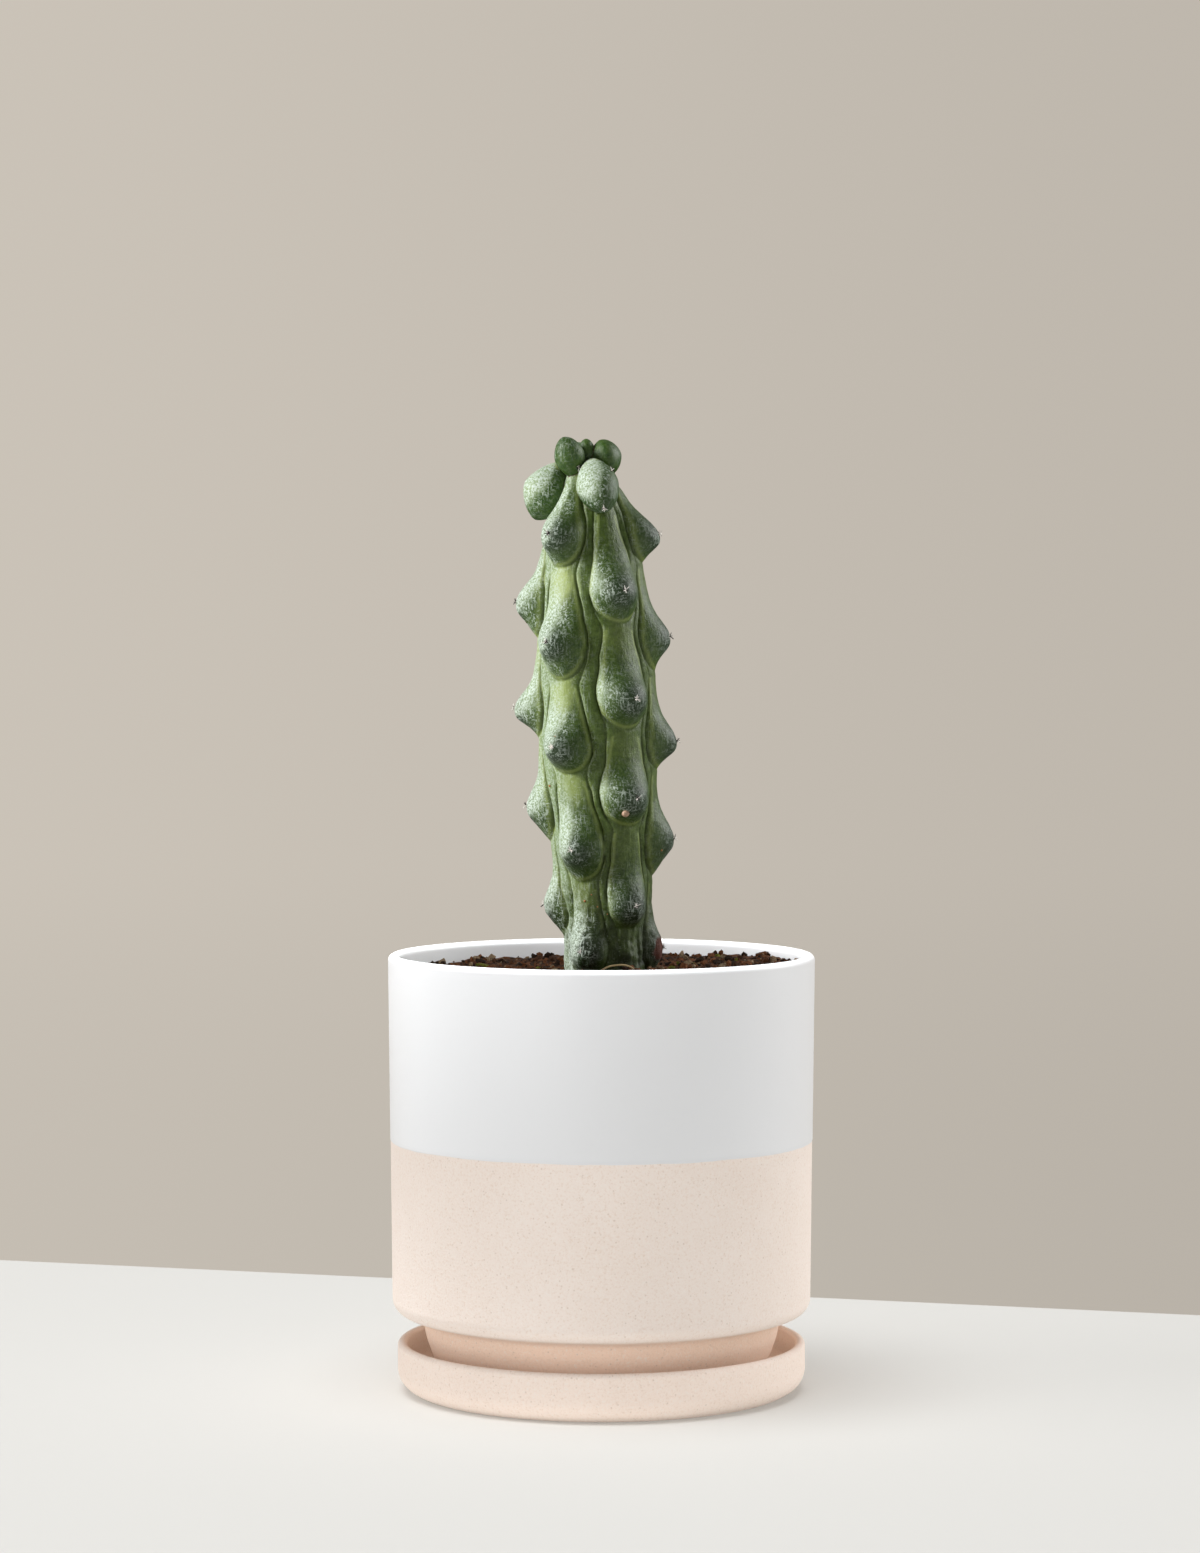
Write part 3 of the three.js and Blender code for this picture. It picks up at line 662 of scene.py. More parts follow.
class StemRow:
    """All that one height of the stem's skin needs: the ribs, their tubercles and the creases"""

    twist_per_mm = -0.045
    twist_free_height = 200
    full_radius = 16.6

    def __init__(self, plant, height):
        self.plant = plant
        self.height = height
        self.core = along(STEM_RADIUS, height)
        self.lean = along(STEM_LEAN, height)
        self.ribbing = smooth(116, 132, height) * (1 - smooth(272, 284, height))
        self.tubercles = [Tubercle(plant, noses, height) for _, noses in RIBS]
        turn = self.twist_per_mm * (height - self.twist_free_height)
        self.ribs = []
        for azimuth, noses in RIBS:
            stray = along([nose[:2] for nose in noses], height)
            self.ribs.append(math.radians(azimuth + turn + stray))
        self.sides = {}
        for index in range(len(RIBS)):
            self.furrow(index)

    def wander(self, index):
        """How far the creases of a rib stray, as a share of their reach"""
        broad, fine = drift(self.height / 9, 3.1 * index, 0.5), drift(self.height / 3.3, 3.1 * index, 7.5)
        return 0.1 * broad + 0.035 * fine

    def furrow(self, index):
        """Sets the two creases of the furrow to the right of a rib and the band between them"""
        after = (index + 1) % len(RIBS)
        lap = 2 * math.pi if after == 0 else 0.0
        apart = (self.ribs[after] + lap - self.ribs[index]) * self.core
        size = self.plant.half_width * min(1.0, self.core / self.full_radius)
        left, right = (
            size * (crease_reach(self.plant, RIBS[rib][1], self.height) + self.wander(rib))
            for rib in (index, after)
        )
        shrunk = max(0.0, min(1.0, (apart - self.plant.least_band) / max(0.1, left + right)))
        band = (apart - (left + right) * shrunk) / 2
        self.sides[index, 1] = (left * shrunk, band, size * shrunk)
        self.sides[after, -1] = (right * shrunk, band, size * shrunk)


class SkinPoint:
    """A point of the stem's skin at one row: a rib, a side of it and a place on that side

    place and outwards are where it is and faces. age, nose, body, saddle, crease and lip are the marks
    from 0 to 1 that the skin's material reads. crease is painted shade, lip a pale line that is partly a
    painted highlight, and nose the noses' darker skin, which also carries painted shade.
    """

    columns = 18
    near_crease = (-0.45, -0.22, 0, 0.22, 0.45, 0.8)
    nose_reach = 5.0
    nose_above = 5.6
    nose_below = 5.2
    nose_bluntness = 2.6
    mark_reach = 4.6
    mark_above = 6.5
    mark_below = 5.2
    saddle_reach = 5.5
    edge_steepness = 0.85
    crease_width = 0.32
    ridge_width = 0.45
    outline_width = 0.5
    lip_gap = 0.9
    lip_width = 0.45
    wear = 0.75

    def __init__(self, row, index, side, column):
        plant = row.plant
        crease, band, size = row.sides[index, side]
        aside = self.spread(crease, band, column)
        self.azimuth = row.ribs[index] + side * aside / max(0.1, row.core)
        here = row.tubercles[index]
        from_furrow = crease + band - aside
        groove = bell(from_furrow - band, self.crease_width) * (1 - 0.6 * here.calm)
        raised = dome(from_furrow, max(0.1, band)) ** 2
        hump = dome(aside, max(0.1, crease))
        self.age = 1 - smooth(126, 168, row.height)
        worn = 1 - self.wear * self.age
        ridge = bell(from_furrow - 0.35 * band * side, self.ridge_width) * smooth(1.6, 3.2, band)
        strip = 0.3 + 0.4 * drift(row.height / 7, 2.7 * index, 3.0 * side)
        ribbing = plant.rib_crown * hump + 0.1 * raised + strip * worn * ridge
        ribbing -= plant.crease_depth * worn * groove

        half_width = here.width * size
        inside = dome(aside, half_width) if half_width > 0.1 else 0.0
        body = (1 - plant.nose_share) * here.swell * inside**self.edge_steepness
        reach = self.nose_above if here.rise > 0 else self.nose_below
        tip = bell(aside, self.nose_reach) * math.exp(-abs(here.rise / reach) ** self.nose_bluntness)
        bump = here.stand * (body + plant.nose_share * tip)
        to_edge = half_width - aside
        if here.low and size > 0.1:
            to_edge = (1 - math.hypot(aside / size, here.low)) * (size + here.down) / 2
        outline = here.outline * bell(to_edge, self.outline_width)
        relief = ribbing - plant.outline_depth * worn * outline
        radius = row.core + row.ribbing * relief + bump if row.core > 0 else 0.0

        closing = smooth(0, 4, row.core)
        self.outwards = Vector((math.sin(self.azimuth), -math.cos(self.azimuth), 0.0)) * closing
        x = row.lean + radius * math.sin(self.azimuth)
        y = -radius * math.cos(self.azimuth)
        self.place = Vector((x, y, row.height - plant.droop * bump))
        self.nose = self.lip = 0.0
        if here.stand:
            reach = self.mark_below if here.rise < 0 else self.mark_above
            # The dark nose mark: the noses' darker skin, to which the material adds painted shade
            self.nose = bell(aside, self.mark_reach) * bell(here.rise + 1, reach)
            # A pale line inside each tubercle's outline: partly paler skin, partly a painted highlight on
            # the edge
            self.lip = bell(to_edge - self.lip_gap, self.lip_width) * worn
        self.body = min(1.0, 1.7 * here.swell * inside**0.6)
        self.saddle = min(1.0, here.saddle) * bell(aside, self.saddle_reach) * (1 - 0.8 * self.nose)
        # Painted shade: how strongly the material darkens the creases and the outline round each tubercle
        self.crease = row.ribbing * min(1.0, groove + outline) * worn

    def spread(self, crease, band, column):
        """How far a column lies from the middle of its rib: the columns crowd at the crease"""
        full = crease + band
        even = full * (1 - column / self.columns)
        inner = band + self.near_crease[0]
        stops = [0.0, inner / 2, *(band + offset for offset in self.near_crease)]
        if column < len(stops):
            crowded = full - stops[column]
        else:
            left = self.columns - len(stops) + 1
            crowded = (full - stops[-1]) * (1 - (column - len(stops) + 1) / left)
        share = smooth(3, 7, full)
        return even * (1 - share) + crowded * share


def turned(profile, steps, closed):
    """A bmesh turned round the Z axis from points of radius and height in millimetres"""
    bm = bmesh.new()
    verts = [bm.verts.new((radius * MM, 0.0, height * MM)) for radius, height in profile]
    pairs = list(zip(verts, verts[1:]))
    if closed:
        pairs.append((verts[-1], verts[0]))
    edges = [bm.edges.new(pair) for pair in pairs]
    bmesh.ops.spin(
        bm, geom=verts + edges, cent=(0, 0, 0), axis=(0, 0, 1), angle=2 * math.pi, steps=steps,
        use_merge=True,
    )
    bmesh.ops.remove_doubles(bm, verts=bm.verts, dist=0.001 * MM)
    bmesh.ops.recalc_face_normals(bm, faces=bm.faces)
    return bm


def arc(centre, radius, start, end, steps):
    """Points of a round corner of a profile, between two angles in degrees"""
    points = []
    for i in range(steps + 1):
        angle = math.radians(start + (end - start) * i / steps)
        points.append((centre[0] + radius * math.cos(angle), centre[1] + radius * math.sin(angle)))
    return points


def rounded(points, radius, steps=4):
    """Points with the inner ones turned into short smooth bends"""
    made = [points[0]]
    for before, at, after in zip(points, points[1:], points[2:]):
        before, at, after = Vector(before), Vector(at), Vector(after)
        reach = min(radius, (at - before).length / 2.2, (after - at).length / 2.2)
        start = at + (before - at).normalized() * reach
        end = at + (after - at).normalized() * reach
        for i in range(steps + 1):
            t = i / steps
            point = start * (1 - t) ** 2 + at * 2 * t * (1 - t) + end * t * t
            made.append((point.x, point.y))
    made.append(points[-1])
    return made


def mesh_of(name, bm):
    """A mesh made of a bmesh, which is then freed"""
    mesh = bpy.data.meshes.new(name)
    bm.to_mesh(mesh)
    bm.free()
    return mesh


def baked(holder):
    """The mesh that an object's curve or modifiers make; the object is removed"""
    evaluated = holder.evaluated_get(bpy.context.evaluated_depsgraph_get())
    mesh = bpy.data.meshes.new_from_object(evaluated)
    bpy.data.objects.remove(holder)
    return mesh


def show(name, data):
    """A new object in the scene"""
    made = bpy.data.objects.new(name, data)
    bpy.context.scene.collection.objects.link(made)
    return made


def make_piece(name, mesh, material, node, smooth_angle=80):
    """Turns a mesh or bmesh into a finished piece that stands for a node and rides with the body"""
    if isinstance(mesh, bmesh.types.BMesh):
        mesh = mesh_of(name, mesh)
    mesh.name = name
    mesh.materials.clear()
    mesh.materials.append(material)
    mesh.shade_smooth()
    mesh.set_sharp_from_angle(angle=math.radians(smooth_angle))
    piece = show(name, mesh)
    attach(piece, "root")
    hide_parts(node)


def add_marks(bm, *names):
    """Layers of four values at each point, which a material reads by name"""
    return [bm.verts.layers.float_color.new(name) for name in names]


def stem_mesh(plant):
    """The ribbed stem with its tubercles, as a fine closed skin"""
    step = 0.45
    per_side = SkinPoint.columns
    columns = 2 * per_side * len(RIBS)
    top = STEM_RADIUS[-1][0]
    count = round((top - FINE_FROM) / step)
    heights = (*BURIED_ROWS, *(FINE_FROM + (top - FINE_FROM) * i / count for i in range(count + 1)))
    rows = [StemRow(plant, height) for height in heights]
    bm = bmesh.new()
    bmesh.ops.create_grid(bm, x_segments=columns, y_segments=len(rows) - 1, size=0.5)
    marks, lines = add_marks(bm, "skin_marks", "skin_lines")
    for vert in bm.verts:
        column = round((vert.co.x + 0.5) * columns) % columns
        row = rows[round((vert.co.y + 0.5) * (len(rows) - 1))]
        index, within = divmod(column, 2 * per_side)
        side = -1 if within < per_side else 1
        point = SkinPoint(row, index, side, within if side < 0 else 2 * per_side - within)
        vert.co = weathered(point.place, point.outwards, point.age) * MM
        vert[marks] = (point.nose, point.saddle, point.age, 1.0)
        vert[lines] = (point.crease, point.body, corkiness(point.place), point.lip)
    bmesh.ops.remove_doubles(bm, verts=bm.verts, dist=0.001 * MM)
    bmesh.ops.recalc_face_normals(bm, faces=bm.faces)
    mark_sun(bm, STEM_SUN, 1.0, 0.0)
    return bm


def mark_sun(bm, towards, share, young):
    """Marks the skin that faces the window light, which the material paints lighter and where the bloom is
    thickest, and how young the skin is
    """
    (sun,) = add_marks(bm, "skin_sun")
    bm.normal_update()
    for vert in bm.verts:
        # The first value is for painted light: how much the skin faces the window
        vert[sun] = (min(1.0, share * smooth(-0.15, 1.02, vert.normal.dot(towards))), young, 0.0, 1.0)


def weathered(place, outwards, age):
    """The skin's slight unevenness, rougher where it is old"""
    broad = noise.noise(place / 9.0) * 0.4
    fine = noise.noise(place / 2.2 + Vector((7, 3, 1))) * (0.07 + 0.3 * age)
    wrinkle = drift(place.x / 1.2, place.y / 1.2, place.z / 7.0) * (0.08 + 0.3 * age)
    return place + outwards * (broad + fine + wrinkle)


def corkiness(place):
    """How corky the skin is: only the oldest tubercle at the right is brown"""
    away = math.hypot(*(part / size for part, size in zip(place - CORK_PLACE, CORK_SIZE)))
    return 1 - smooth(0.75, 1.0, away + 0.3 * noise.noise(place / 2.0))


def facing(direction):
    """The turn that brings +Z into a direction"""
    return direction.to_track_quat("Z", "Y").to_matrix().to_4x4()


def round_stem(azimuth, radius, height):
    """A point round the leaning axis of the stem, in millimetres"""
    turn = math.radians(azimuth)
    return Vector((along(STEM_LEAN, height) + radius * math.sin(turn), -radius * math.cos(turn), height))


def lobe_radius(half_width, share, pointed):
    """Radius of a lobe at a share of its half length, fuller towards the nose"""
    return half_width * (1 + 0.12 * share) * (1 - abs(share) ** pointed) ** (1 / pointed)


def lobe_mesh(azimuth, root, nose, half_width, pointed, dark, sun):
    """A young lobe: an egg from its root to its nose, fuller towards the nose"""
    start, end = round_stem(azimuth, *root), round_stem(azimuth, *nose)
    length = end - start
    turn = length.to_track_quat("Z", "Y")
    bm = bmesh.new()
    around = 56
    bmesh.ops.create_uvsphere(bm, u_segments=around, v_segments=round(around * 0.6), radius=1)
    marks, lines = add_marks(bm, "skin_marks", "skin_lines")
    for vert in bm.verts:
        share = max(-1.0, min(1.0, vert.co.z))
        round_end = math.sqrt(max(1e-6, 1 - share * share))
        width = lobe_radius(half_width, share, pointed) / round_end if round_end > 0.01 else 0.0
        local = Vector((vert.co.x * width, vert.co.y * width, share * length.length / 2))
        outwards = turn @ vert.co
        place = (start + end) / 2 + turn @ local
        vert.co = place.lerp(weathered(place, outwards, 0), 0.45) * MM
        shade = dark * (0.5 + 0.5 * smooth(-0.1, 1.0, share))
        fresh = 1.2 * (1 - smooth(-1.05, -0.55, share))
        vert[marks] = (shade, fresh, 0.0, 1.0)
        # More bloom flecks on lobes that take more painted window light
        vert[lines] = (0.0, smooth(-1.0, -0.6, share) * min(1.0, 0.33 + 0.8 * sun), 0.0, 0.0)
    mark_sun(bm, TIP_SUN, sun, 0.75)
    return bm


def crown_collection():
    """The young lobes, each an object of its own in a collection"""
    crown = bpy.data.collections.new("young_lobes")
    bpy.context.scene.collection.children.link(crown)
    for i, (*lobe, _) in enumerate(CROWN_LOBES):
        mesh = mesh_of(f"young_lobe_{i}", lobe_mesh(*lobe))
        crown.objects.link(bpy.data.objects.new(mesh.name, mesh))
    return crown


class CACTUS_OT_plant(bpy.types.Operator):
    """Build the cactus: its ribbed stem with the tubercles, and the young lobes of its tip"""

    bl_idname = "cactus.plant"
    bl_label = "Build Plant"

    def execute(self, context):
        plant = context.scene.cactus_plant
        mesh = mesh_of("stem", stem_mesh(plant))
        stem = show("stem", mesh)
        crown = crown_collection()
        union = stem.modifiers.new("union", "BOOLEAN")
        union.operation = "UNION"
        union.operand_type = "COLLECTION"
        union.collection = crown
        union.solver = "MANIFOLD"
        joined = baked(stem)
        if len(joined.polygons) <= len(mesh.polygons) / 2:
            raise RuntimeError("the lobes could not be joined to the stem")
        for lobe in list(crown.objects):
            bpy.data.objects.remove(lobe)
        bpy.data.collections.remove(crown)
        make_piece("cactus_body", joined, cactus_skin(plant), "cactus", 55)
        return {"FINISHED"}


def areoles(plant):
    """Where each nose carries its spines: the place and the outward direction, in millimetres"""
    found = []
    for index, (_, noses) in enumerate(RIBS):
        for nose, _, _, stand, _ in noses:
            height = nose + plant.droop * stand + 0.6
            point = SkinPoint(StemRow(plant, height), index, 1, SkinPoint.columns)
            place = weathered(point.place, point.outwards, point.age)
            found.append((place, (point.outwards + Vector((0, 0, 0.25))).normalized()))
    for azimuth, root, nose, half_width, pointed, _, _, clusters in CROWN_LOBES:
        start, end = round_stem(azimuth, *root), round_stem(azimuth, *nose)
        axis = (end - start).normalized()
        up = Vector((0, 0, 1)) if axis.z < 0 else round_stem(azimuth, 1, 0) - round_stem(azimuth, 0, 0)
        side = (up - axis * up.dot(axis)).normalized()
        for way, turn in clusters:
            share = 2 * way - 1
            normal = Quaternion(axis, math.radians(turn)) @ side
            place = start.lerp(end, way) + normal * lobe_radius(half_width, share, pointed)
            found.append((place, (normal + axis * share).normalized()))
    return found


class CACTUS_OT_spines(bpy.types.Operator):
    """Build the short spines on the noses, each cluster on its tuft of white felt"""

    bl_idname = "cactus.spines"
    bl_label = "Build Spines"
    tuft_reach = 0.28
    base_radius, tip_radius = 0.17, 0.06
    sunk = 0.7
    pale_share = 0.6

    def execute(self, context):
        plant = context.scene.cactus_plant
        draw = random.Random(11)
        spines, felt = bmesh.new(), bmesh.new()
        (darkness,) = add_marks(spines, "spine_tip")
        for place, outwards in areoles(plant):
            for _ in range(5):
                offset = Vector([draw.uniform(-self.tuft_reach, self.tuft_reach) for _ in range(3)])
                size = draw.uniform(0.16, 0.28)
                spot = Matrix.Translation((place + offset) * MM) @ Matrix.Scale(size * MM, 4)
                bmesh.ops.create_icosphere(felt, subdivisions=1, radius=1, matrix=spot)
            sideways = outwards.cross(Vector((0, 0, 1))).normalized()
            upwards = sideways.cross(outwards)
            first = draw.uniform(0, 360)
            count = draw.randint(6, 8)
            for i in range(count):
                fan = math.radians(first + 360 * i / count + draw.uniform(-20, 20))
                spread = draw.uniform(1.1, 2.6)
                lean = outwards + (sideways * math.cos(fan) + upwards * math.sin(fan)) * spread
                lean.normalize()
                length = plant.spine_length * draw.uniform(0.6, 1.0)
                middle = place + outwards * 0.15 + lean * (length / 2 - 0.3)
                made = bmesh.ops.create_cone(
                    spines, cap_ends=True, segments=6, radius1=self.base_radius * MM,
                    radius2=self.tip_radius * MM, depth=(length + self.sunk) * MM,
                    matrix=Matrix.Translation(middle * MM) @ facing(lean),
                )
                at_base, at_tip = (0.0, 0.2) if draw.random() < self.pale_share else (0.8, 1.0)
                for vert in made["verts"]:
                    above = (vert.co / MM - middle).dot(lean) > 0
                    vert[darkness] = (at_tip if above else at_base, 0.0, 0.0, 1.0)
        bone = Finish("spine_horn", 0.55)
        shade = bone.ramp(bone.attribute("spine_tip")[0], 0.25, 0.75)
        colour_along = bone.mix(shade, srgb(0.95, 0.93, 0.90), srgb(0.14, 0.10, 0.09))
        make_piece("cactus_spines", spines, bone.finish(colour_along), "cactus")
        wool = plain_finish("areole_felt", srgb(0.85, 0.82, 0.77), 0.95, 0.3, 0.1, 0.6)
        make_piece("areole_felt", felt, wool, "cactus")
        self.specks(context)
        return {"FINISHED"}

    def specks(self, context):
        """A tan bead of dried sap and a few tiny orange specks that sit on the skin"""
        context.view_layer.update()
        body = context.scene.objects["cactus_body"]
        bead, specks = bmesh.new(), bmesh.new()
        for x, z, size, flat, kind in SPECKS:
            hit, place, normal, _ = body.ray_cast(Vector((x, -60, z)) * MM, Vector((0, 1, 0)))
            if not hit:
                raise RuntimeError("a speck misses the skin")
            spot = Matrix.Translation(place + normal * size * flat * 0.4 * MM) @ facing(normal)
            spot = spot @ Matrix.Diagonal((size * MM, size * MM, size * flat * MM, 1))
            target, fineness = (bead, 3) if kind == "bead" else (specks, 1)
            bmesh.ops.create_icosphere(target, subdivisions=fineness, radius=1, matrix=spot)
        tan = plain_finish("dried_sap", srgb(0.80, 0.66, 0.55), 0.55, 0.8, 0.15, 0.45)
        make_piece("bead_of_sap", bead, tan, "cactus")
        rust = plain_finish("rust_speck", srgb(0.72, 0.47, 0.25), 0.6, 0.5, 0.05)
        make_piece("cactus_specks", specks, rust, "cactus")


class CACTUS_OT_pot(bpy.types.Operator):
    """Build the pot: a straight glazed wall over bare clay, with an undercut foot"""

    bl_idname = "cactus.pot"
    bl_label = "Build Pot"

    def execute(self, context):
        pot = context.scene.cactus_pot
        lip = pot.wall / 2
        inner = POT_RADIUS - pot.wall
        recess = SAUCER_FLOOR + 1.2
        floor = SAUCER_FLOOR + 5.6
        side = POT_RADIUS - 1.2
        under = pot.wall_underside
        corner = pot.wall_corner
        foot = rounded([
            (pot.drain_hole, recess),
            (pot.foot_base - 7, recess),
            (pot.foot_base - 6, SAUCER_FLOOR),
            (pot.foot_base - 0.8, SAUCER_FLOOR),
            (pot.foot_base + 0.5, SAUCER_FLOOR + 1.1),
            (pot.foot_base + 3.6, 11),
            (pot.foot_top - 0.7, 17),
            (pot.foot_top, under - 1.4),
            (side - corner, under),
        ], 1.6)
        bare = POT_RADIUS - 0.6 - pot.glaze_depth
        wall = arc((side - corner, under + corner), corner, -84, 0, 10)
        wall += [
            (bare, pot.glaze_line - 0.1),
            (bare + 0.6 * pot.glaze_depth, pot.glaze_line),
            (bare + pot.glaze_depth, pot.glaze_line + 0.25),
        ]
        rim = arc((POT_RADIUS - lip, RIM_HEIGHT - lip), lip, 0, 180, 14)
        inside = rounded([
            (inner - 0.05, RIM_HEIGHT - lip - 1),
            (inner - 0.5, pot.glaze_line),
            (inner - 1.2, under + 2.5 * corner),
            (inner - 4, under + 1.25 * corner),
            (pot.foot_top - 4.4, under + 0.9),
            (pot.foot_top - 6, 16),
            (pot.foot_base - 5, floor + 0.4),
            (pot.drain_hole, floor),
        ], 3)
        bm = turned(foot + wall + rim + inside, ROUND_STEPS, closed=True)
        make_piece("pot_body", bm, two_tone_pot(pot), "pot", 50)
        return {"FINISHED"}


class CACTUS_OT_saucer(bpy.types.Operator):
    """Build the saucer: a shallow round dish with a rounded rim"""

    bl_idname = "cactus.saucer"
    bl_label = "Build Saucer"

    def execute(self, context):
        pot = context.scene.cactus_pot
        lip = pot.saucer_wall / 2
        inner = SAUCER_RADIUS - pot.saucer_wall
        profile = [(0, 0), (40, 0)]
        profile += arc((SAUCER_RADIUS - 7, 7), 7, -90, 0, 12)
        profile += arc((SAUCER_RADIUS - lip, SAUCER_HEIGHT - lip), lip, 0, 180, 12)
        profile += arc((inner - 4, SAUCER_FLOOR + 4), 4, 0, -90, 8)
        profile += [(30, SAUCER_FLOOR), (0, SAUCER_FLOOR)]
        bm = turned(profile, ROUND_STEPS, closed=False)
        make_piece("saucer_body", bm, bare_stoneware(pot), "saucer", 50)
        return {"FINISHED"}


def soil_height(soil, x, y):
    """Height of the soil at a place, in millimetres"""
    rise = soil.rise * smooth(-10, POT_RADIUS, x)
    stem = 1.1 * math.exp(-((x - 2) ** 2 + y * y) / 420)
    lumps = noise.fractal(Vector((x, y, 0)) / 11, 0.7, 2.1, 5) * 1.3
    return soil.height + rise + stem + lumps


class CACTUS_OT_soil(bpy.types.Operator):
    """Build the bed of soil round the stem, and the crumbs, bark, moss and straw that lie on it"""

    bl_idname = "cactus.soil"
    bl_label = "Build Soil"
    stem_hole = 10.0
    least_crumb, more_crumb = 0.35, 1.25
    crumb_jitter = 0.2
    straw_radius = 0.28

    def execute(self, context):
        soil = context.scene.cactus_soil
        pot = context.scene.cactus_pot
        self.bed(soil, pot)
        self.crumbs(soil, pot)
        self.straw(soil)
        return {"FINISHED"}

    def bed(self, soil, pot):
        """The soil itself, a ring round the stem that fills the pot"""
        wall = POT_RADIUS - pot.wall - 0.1
        hole, rings = self.stem_hole, 90
        top = [(hole + (wall - hole) * i / rings, soil.height) for i in range(rings + 1)]
        under = pot.wall_underside + pot.wall_corner
        low = [(wall - 0.9, 76), (wall - 1.6, 36), (wall - 4.4, 30.4), (49.4, 25)]
        low += [(47.6, 16.5), (42.5, 10.8), (hole, 10.4)]
        bm = turned(top + low, 240, closed=True)
        for vert in bm.verts:
            if vert.co.z > (soil.height - 0.5) * MM:
                x, y = vert.co.x / MM, vert.co.y / MM
                vert.co.z = soil_height(soil, x, y) * MM
        make_piece("soil_bed", bm, damp_soil(soil), "soil")

    def crumbs(self, soil, pot):
        """Loose crumbs of peat and bark, pale bits and moss, sunk a little into the soil"""
        draw = random.Random(5)
        wall = POT_RADIUS - pot.wall - 0.6
        bm = bmesh.new()
        (kind,) = add_marks(bm, "crumb_kind")
        for _ in range(soil.crumbs // (1)):
            size = self.least_crumb + self.more_crumb * draw.random() ** 3
            radius = math.sqrt(draw.uniform(0.035, 1)) * (wall - size)
            turn = draw.uniform(0, 2 * math.pi)
            x, y = radius * math.cos(turn), radius * math.sin(turn)
            tilt = Quaternion([draw.uniform(-1, 1) for _ in range(3)], draw.uniform(0, 3))
            scale = Matrix.Diagonal((size * draw.uniform(0.6, 1.5), size, size * draw.uniform(0.5, 0.9), 1))
            spot = Vector((x, y, soil_height(soil, x, y) + 0.25 * size)) * MM
            matrix = Matrix.Translation(spot) @ tilt.to_matrix().to_4x4() @ scale @ Matrix.Scale(MM, 4)
            made = bmesh.ops.create_icosphere(bm, subdivisions=1, radius=1, matrix=matrix)
            shade = draw.random()
            for vert in made["verts"]:
                shift = [draw.uniform(-self.crumb_jitter, self.crumb_jitter) for _ in range(3)]
                vert.co += Vector(shift) * size * MM
                vert[kind] = (shade, 0.0, 0.0, 1.0)
        make_piece("soil_crumbs", bm, crumb_finish(soil), "soil", 30)

    def straw(self, soil):
        """A thin dry curl of straw at the front of the stem"""
        points = (
            (-1.4, -18.2, 0.2), (1.2, -20.0, 3.6), (4.8, -20.6, 4.2), (8.2, -19.6, 3.4), (10.4, -17.0, 0.2),
        )
        curve = bpy.data.curves.new("straw", "CURVE")
        curve.dimensions = "3D"
        curve.bevel_depth = self.straw_radius * MM
        curve.bevel_resolution = 2
        curve.use_fill_caps = True
        spline = curve.splines.new("NURBS")
        spline.points.add(len(points) - 1)
        spline.use_endpoint_u = True
        for at, (x, y, lift) in zip(spline.points, points):
            at.co = (x * MM, y * MM, (soil_height(soil, x, y) + lift) * MM, 1.0)
        dry = plain_finish("dry_straw", srgb(0.80, 0.71, 0.52), 0.7, 1.0, 0.05)
        make_piece("straw_curl", baked(show("straw", curve)), dry, "soil", 40)


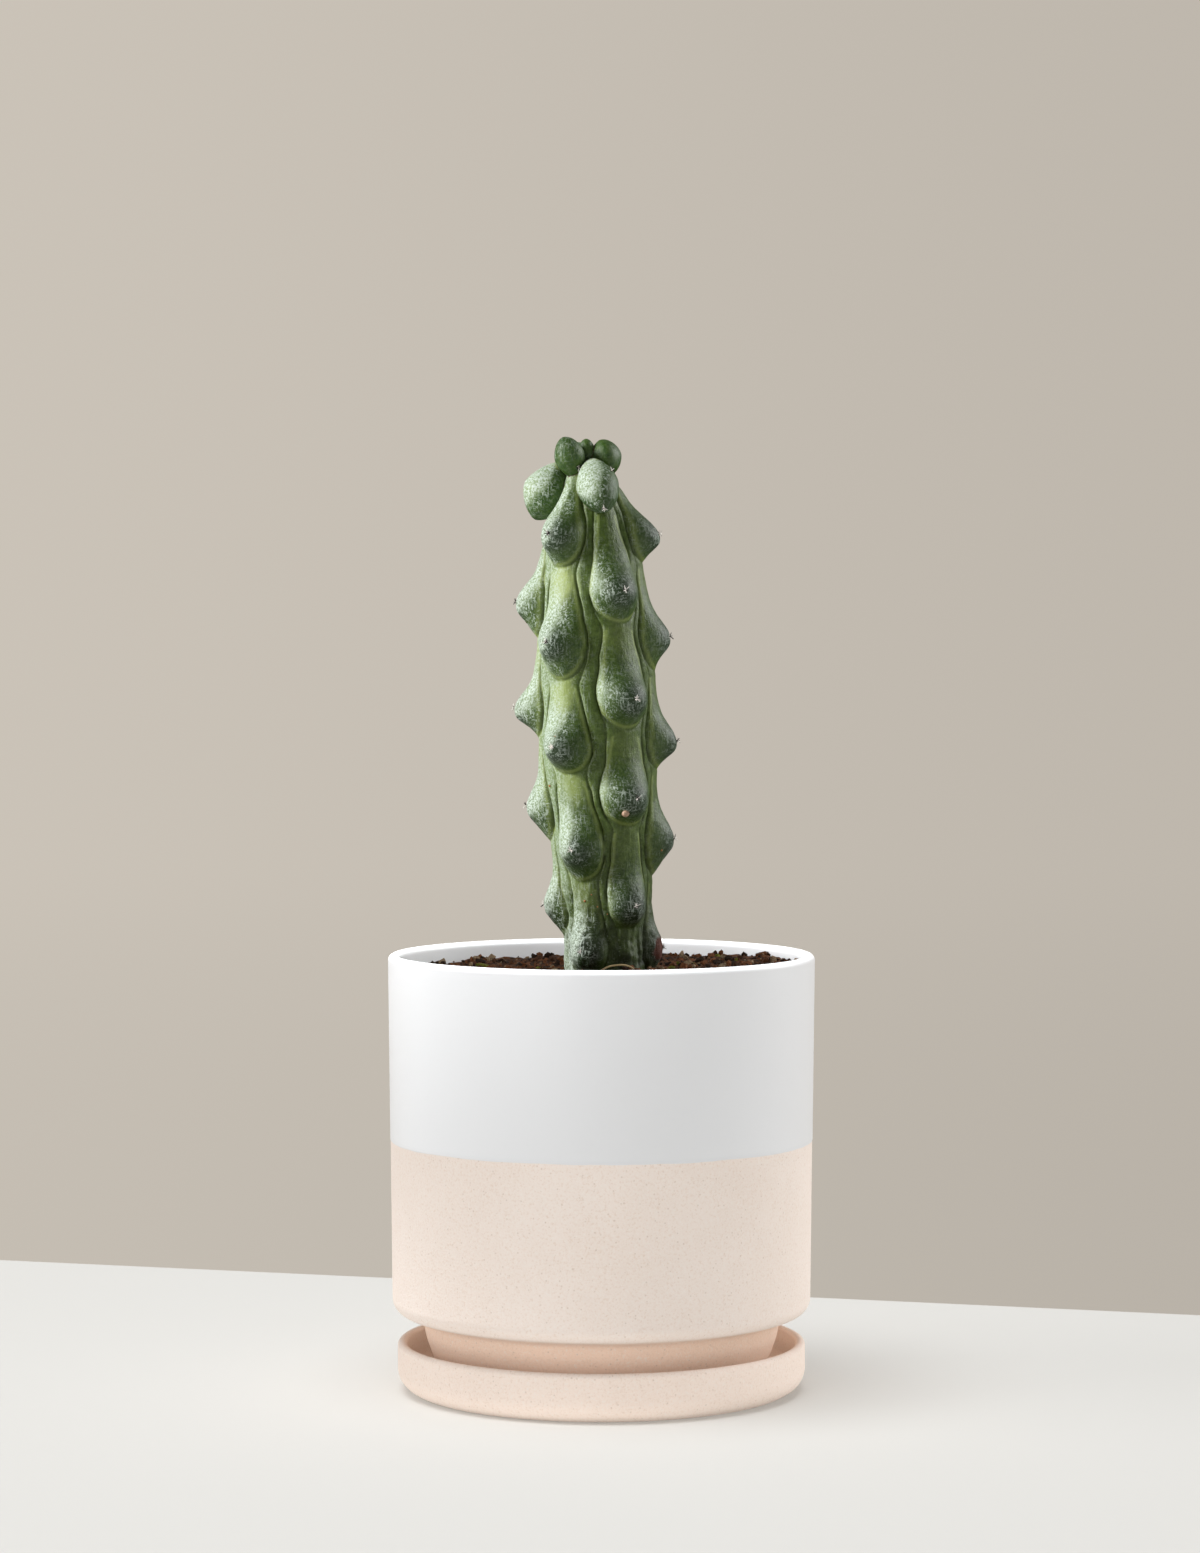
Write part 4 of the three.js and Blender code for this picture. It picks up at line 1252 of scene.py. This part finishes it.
class CACTUS_OT_stage(bpy.types.Operator):
    """Set up the plain pale floor, the soft light and the camera"""

    bl_idname = "cactus.stage"
    bl_label = "Set Up Stage"

    def execute(self, context):
        stage = context.scene.cactus_stage
        self.floor(stage)
        self.lights(context, stage)
        camera = bpy.data.cameras.new("camera")
        camera.sensor_width = SENSOR
        camera.lens = stage.lens
        camera.clip_start = 0.01
        holder = show("camera", camera)
        holder.location = (CAMERA_ASIDE, -stage.camera_distance, stage.camera_height)
        holder.rotation_euler = (math.pi / 2 - stage.camera_pitch, 0, 0)
        context.scene.camera = holder
        context.scene.view_settings.view_transform = "Standard"
        return {"FINISHED"}

    def floor(self, stage):
        """A wide round floor that sweeps up far from the object, and glows with painted light beyond the
        pale floor's edge
        """
        reach, bend, tall = 8.0, 1.5, 2.5
        path = [(0, 0), (1, 0), (reach - bend, 0)]
        path += arc((reach - bend, bend), bend, -90, 0, 12) + [(reach, tall)]
        bm = turned([(radius / MM, height / MM) for radius, height in path], 96, closed=False)
        mesh = mesh_of("floor", bm)
        mesh.shade_smooth()
        paper = Finish("pale_paper", 0.9, 0.0)
        across = paper.add("ShaderNodeVectorMath", {0: paper.place, 1: EDGE_FACING}, operation="DOT_PRODUCT")
        edge = stage.edge_distance
        beyond = paper.ramp(across.outputs["Value"], edge - MM, edge + MM)
        parts = paper.add("ShaderNodeSeparateXYZ", {"Vector": paper.place}).outputs
        aside = paper.maths("DIVIDE", parts["X"], paper.plus(parts["Y"], stage.camera_distance))
        # Painted light on the glowing backdrop: lighter to the left and darker to the right as seen from the
        # camera
        near, far = (tuple(share * part for part in stage.backdrop_colour) for share in (1.03, 0.89))
        wall = paper.mix(paper.ramp(aside, -0.2, 0.2), near, far)
        # Painted shade: the backdrop a little darker just behind the pale floor's edge
        wall = paper.mix(paper.ramp(parts["Y"], 0.2, 3.0, 0.06, 0.0), wall, BLACK)
        # Beyond the edge the floor is black and glows, lit by no lamp
        glow = paper.mix(beyond, BLACK, wall)
        pale = paper.mix(beyond, stage.floor_colour, BLACK)
        mesh.materials.append(paper.finish(pale, Emission_Color=glow, Emission_Strength=1.0))
        floor = show("floor", mesh)

    def lights(self, context, stage):
        """Large soft lights: a strong side light for the plant, evener ones for the pot and the floor"""
        for name, place, size, pieces, shading in LAMPS:
            light = bpy.data.lights.new(name, "AREA" if size else "SUN")
            light.energy = getattr(stage, name)
            if size:
                light.size = size
            else:
                light.angle = math.radians(SUN_WIDTH)
            holder = show(name, light)
            holder.location = place
            holder.rotation_euler = (LIGHTS_AIM - Vector(place)).to_track_quat("-Z", "Y").to_euler()
            linking = holder.light_linking
            linking.receiver_collection = self.lit_group(context, f"lit_by_{name}", pieces)
            if shading:
                linking.blocker_collection = self.lit_group(context, f"shades_{name}", shading)
        glowing = context.scene.objects["floor"].light_linking
        glowing.receiver_collection = self.lit_group(context, "lit_by_floor", (*POT_PIECES, "floor"))
        world = bpy.data.worlds.new("even_sky")
        world.use_nodes = True
        sky = world.node_tree.nodes["Background"]
        sky.inputs["Color"].default_value = (1.0, 0.997, 0.99, 1.0)
        sky.inputs["Strength"].default_value = stage.sky
        context.scene.world = world

    def lit_group(self, context, name, pieces):
        """A collection of the meshes whose names begin with one of the given words"""
        group = bpy.data.collections.new(name)
        for piece in context.scene.objects:
            if piece.type == "MESH" and piece.name.startswith(pieces):
                group.objects.link(piece)
        return group


class CACTUS_PT_panel(bpy.types.Panel):
    """Buttons that build the potted cactus piece by piece"""

    bl_idname = "CACTUS_PT_panel"
    bl_label = "Potted Cactus"
    bl_space_type = "VIEW_3D"
    bl_region_type = "UI"
    bl_category = "Cactus"

    def draw(self, context):
        for operator in OPERATORS:
            self.layout.operator(operator.bl_idname)


SETTINGS = (
    ("cactus_plant", PlantSettings),
    ("cactus_pot", PotSettings),
    ("cactus_soil", SoilSettings),
    ("cactus_stage", StageSettings),
)
OPERATORS = (
    CACTUS_OT_saucer, CACTUS_OT_pot, CACTUS_OT_soil, CACTUS_OT_plant, CACTUS_OT_spines, CACTUS_OT_stage,
)


def register():
    """Adds the settings, the operators and the panel"""
    for name, settings in SETTINGS:
        bpy.utils.register_class(settings)
        setattr(bpy.types.Scene, name, bpy.props.PointerProperty(type=settings))
    for shown in (*OPERATORS, CACTUS_PT_panel):
        bpy.utils.register_class(shown)


def unregister():
    """Takes them away again"""
    for shown in (CACTUS_PT_panel, *reversed(OPERATORS)):
        bpy.utils.unregister_class(shown)
    for name, settings in reversed(SETTINGS):
        delattr(bpy.types.Scene, name)
        bpy.utils.unregister_class(settings)


def main():
    """Builds everything in order"""
    register()
    bpy.ops.cactus.saucer()
    bpy.ops.cactus.pot()
    bpy.ops.cactus.soil()
    bpy.ops.cactus.plant()
    bpy.ops.cactus.spines()
    bpy.ops.cactus.stage()


if __name__ == "__main__":
    main()
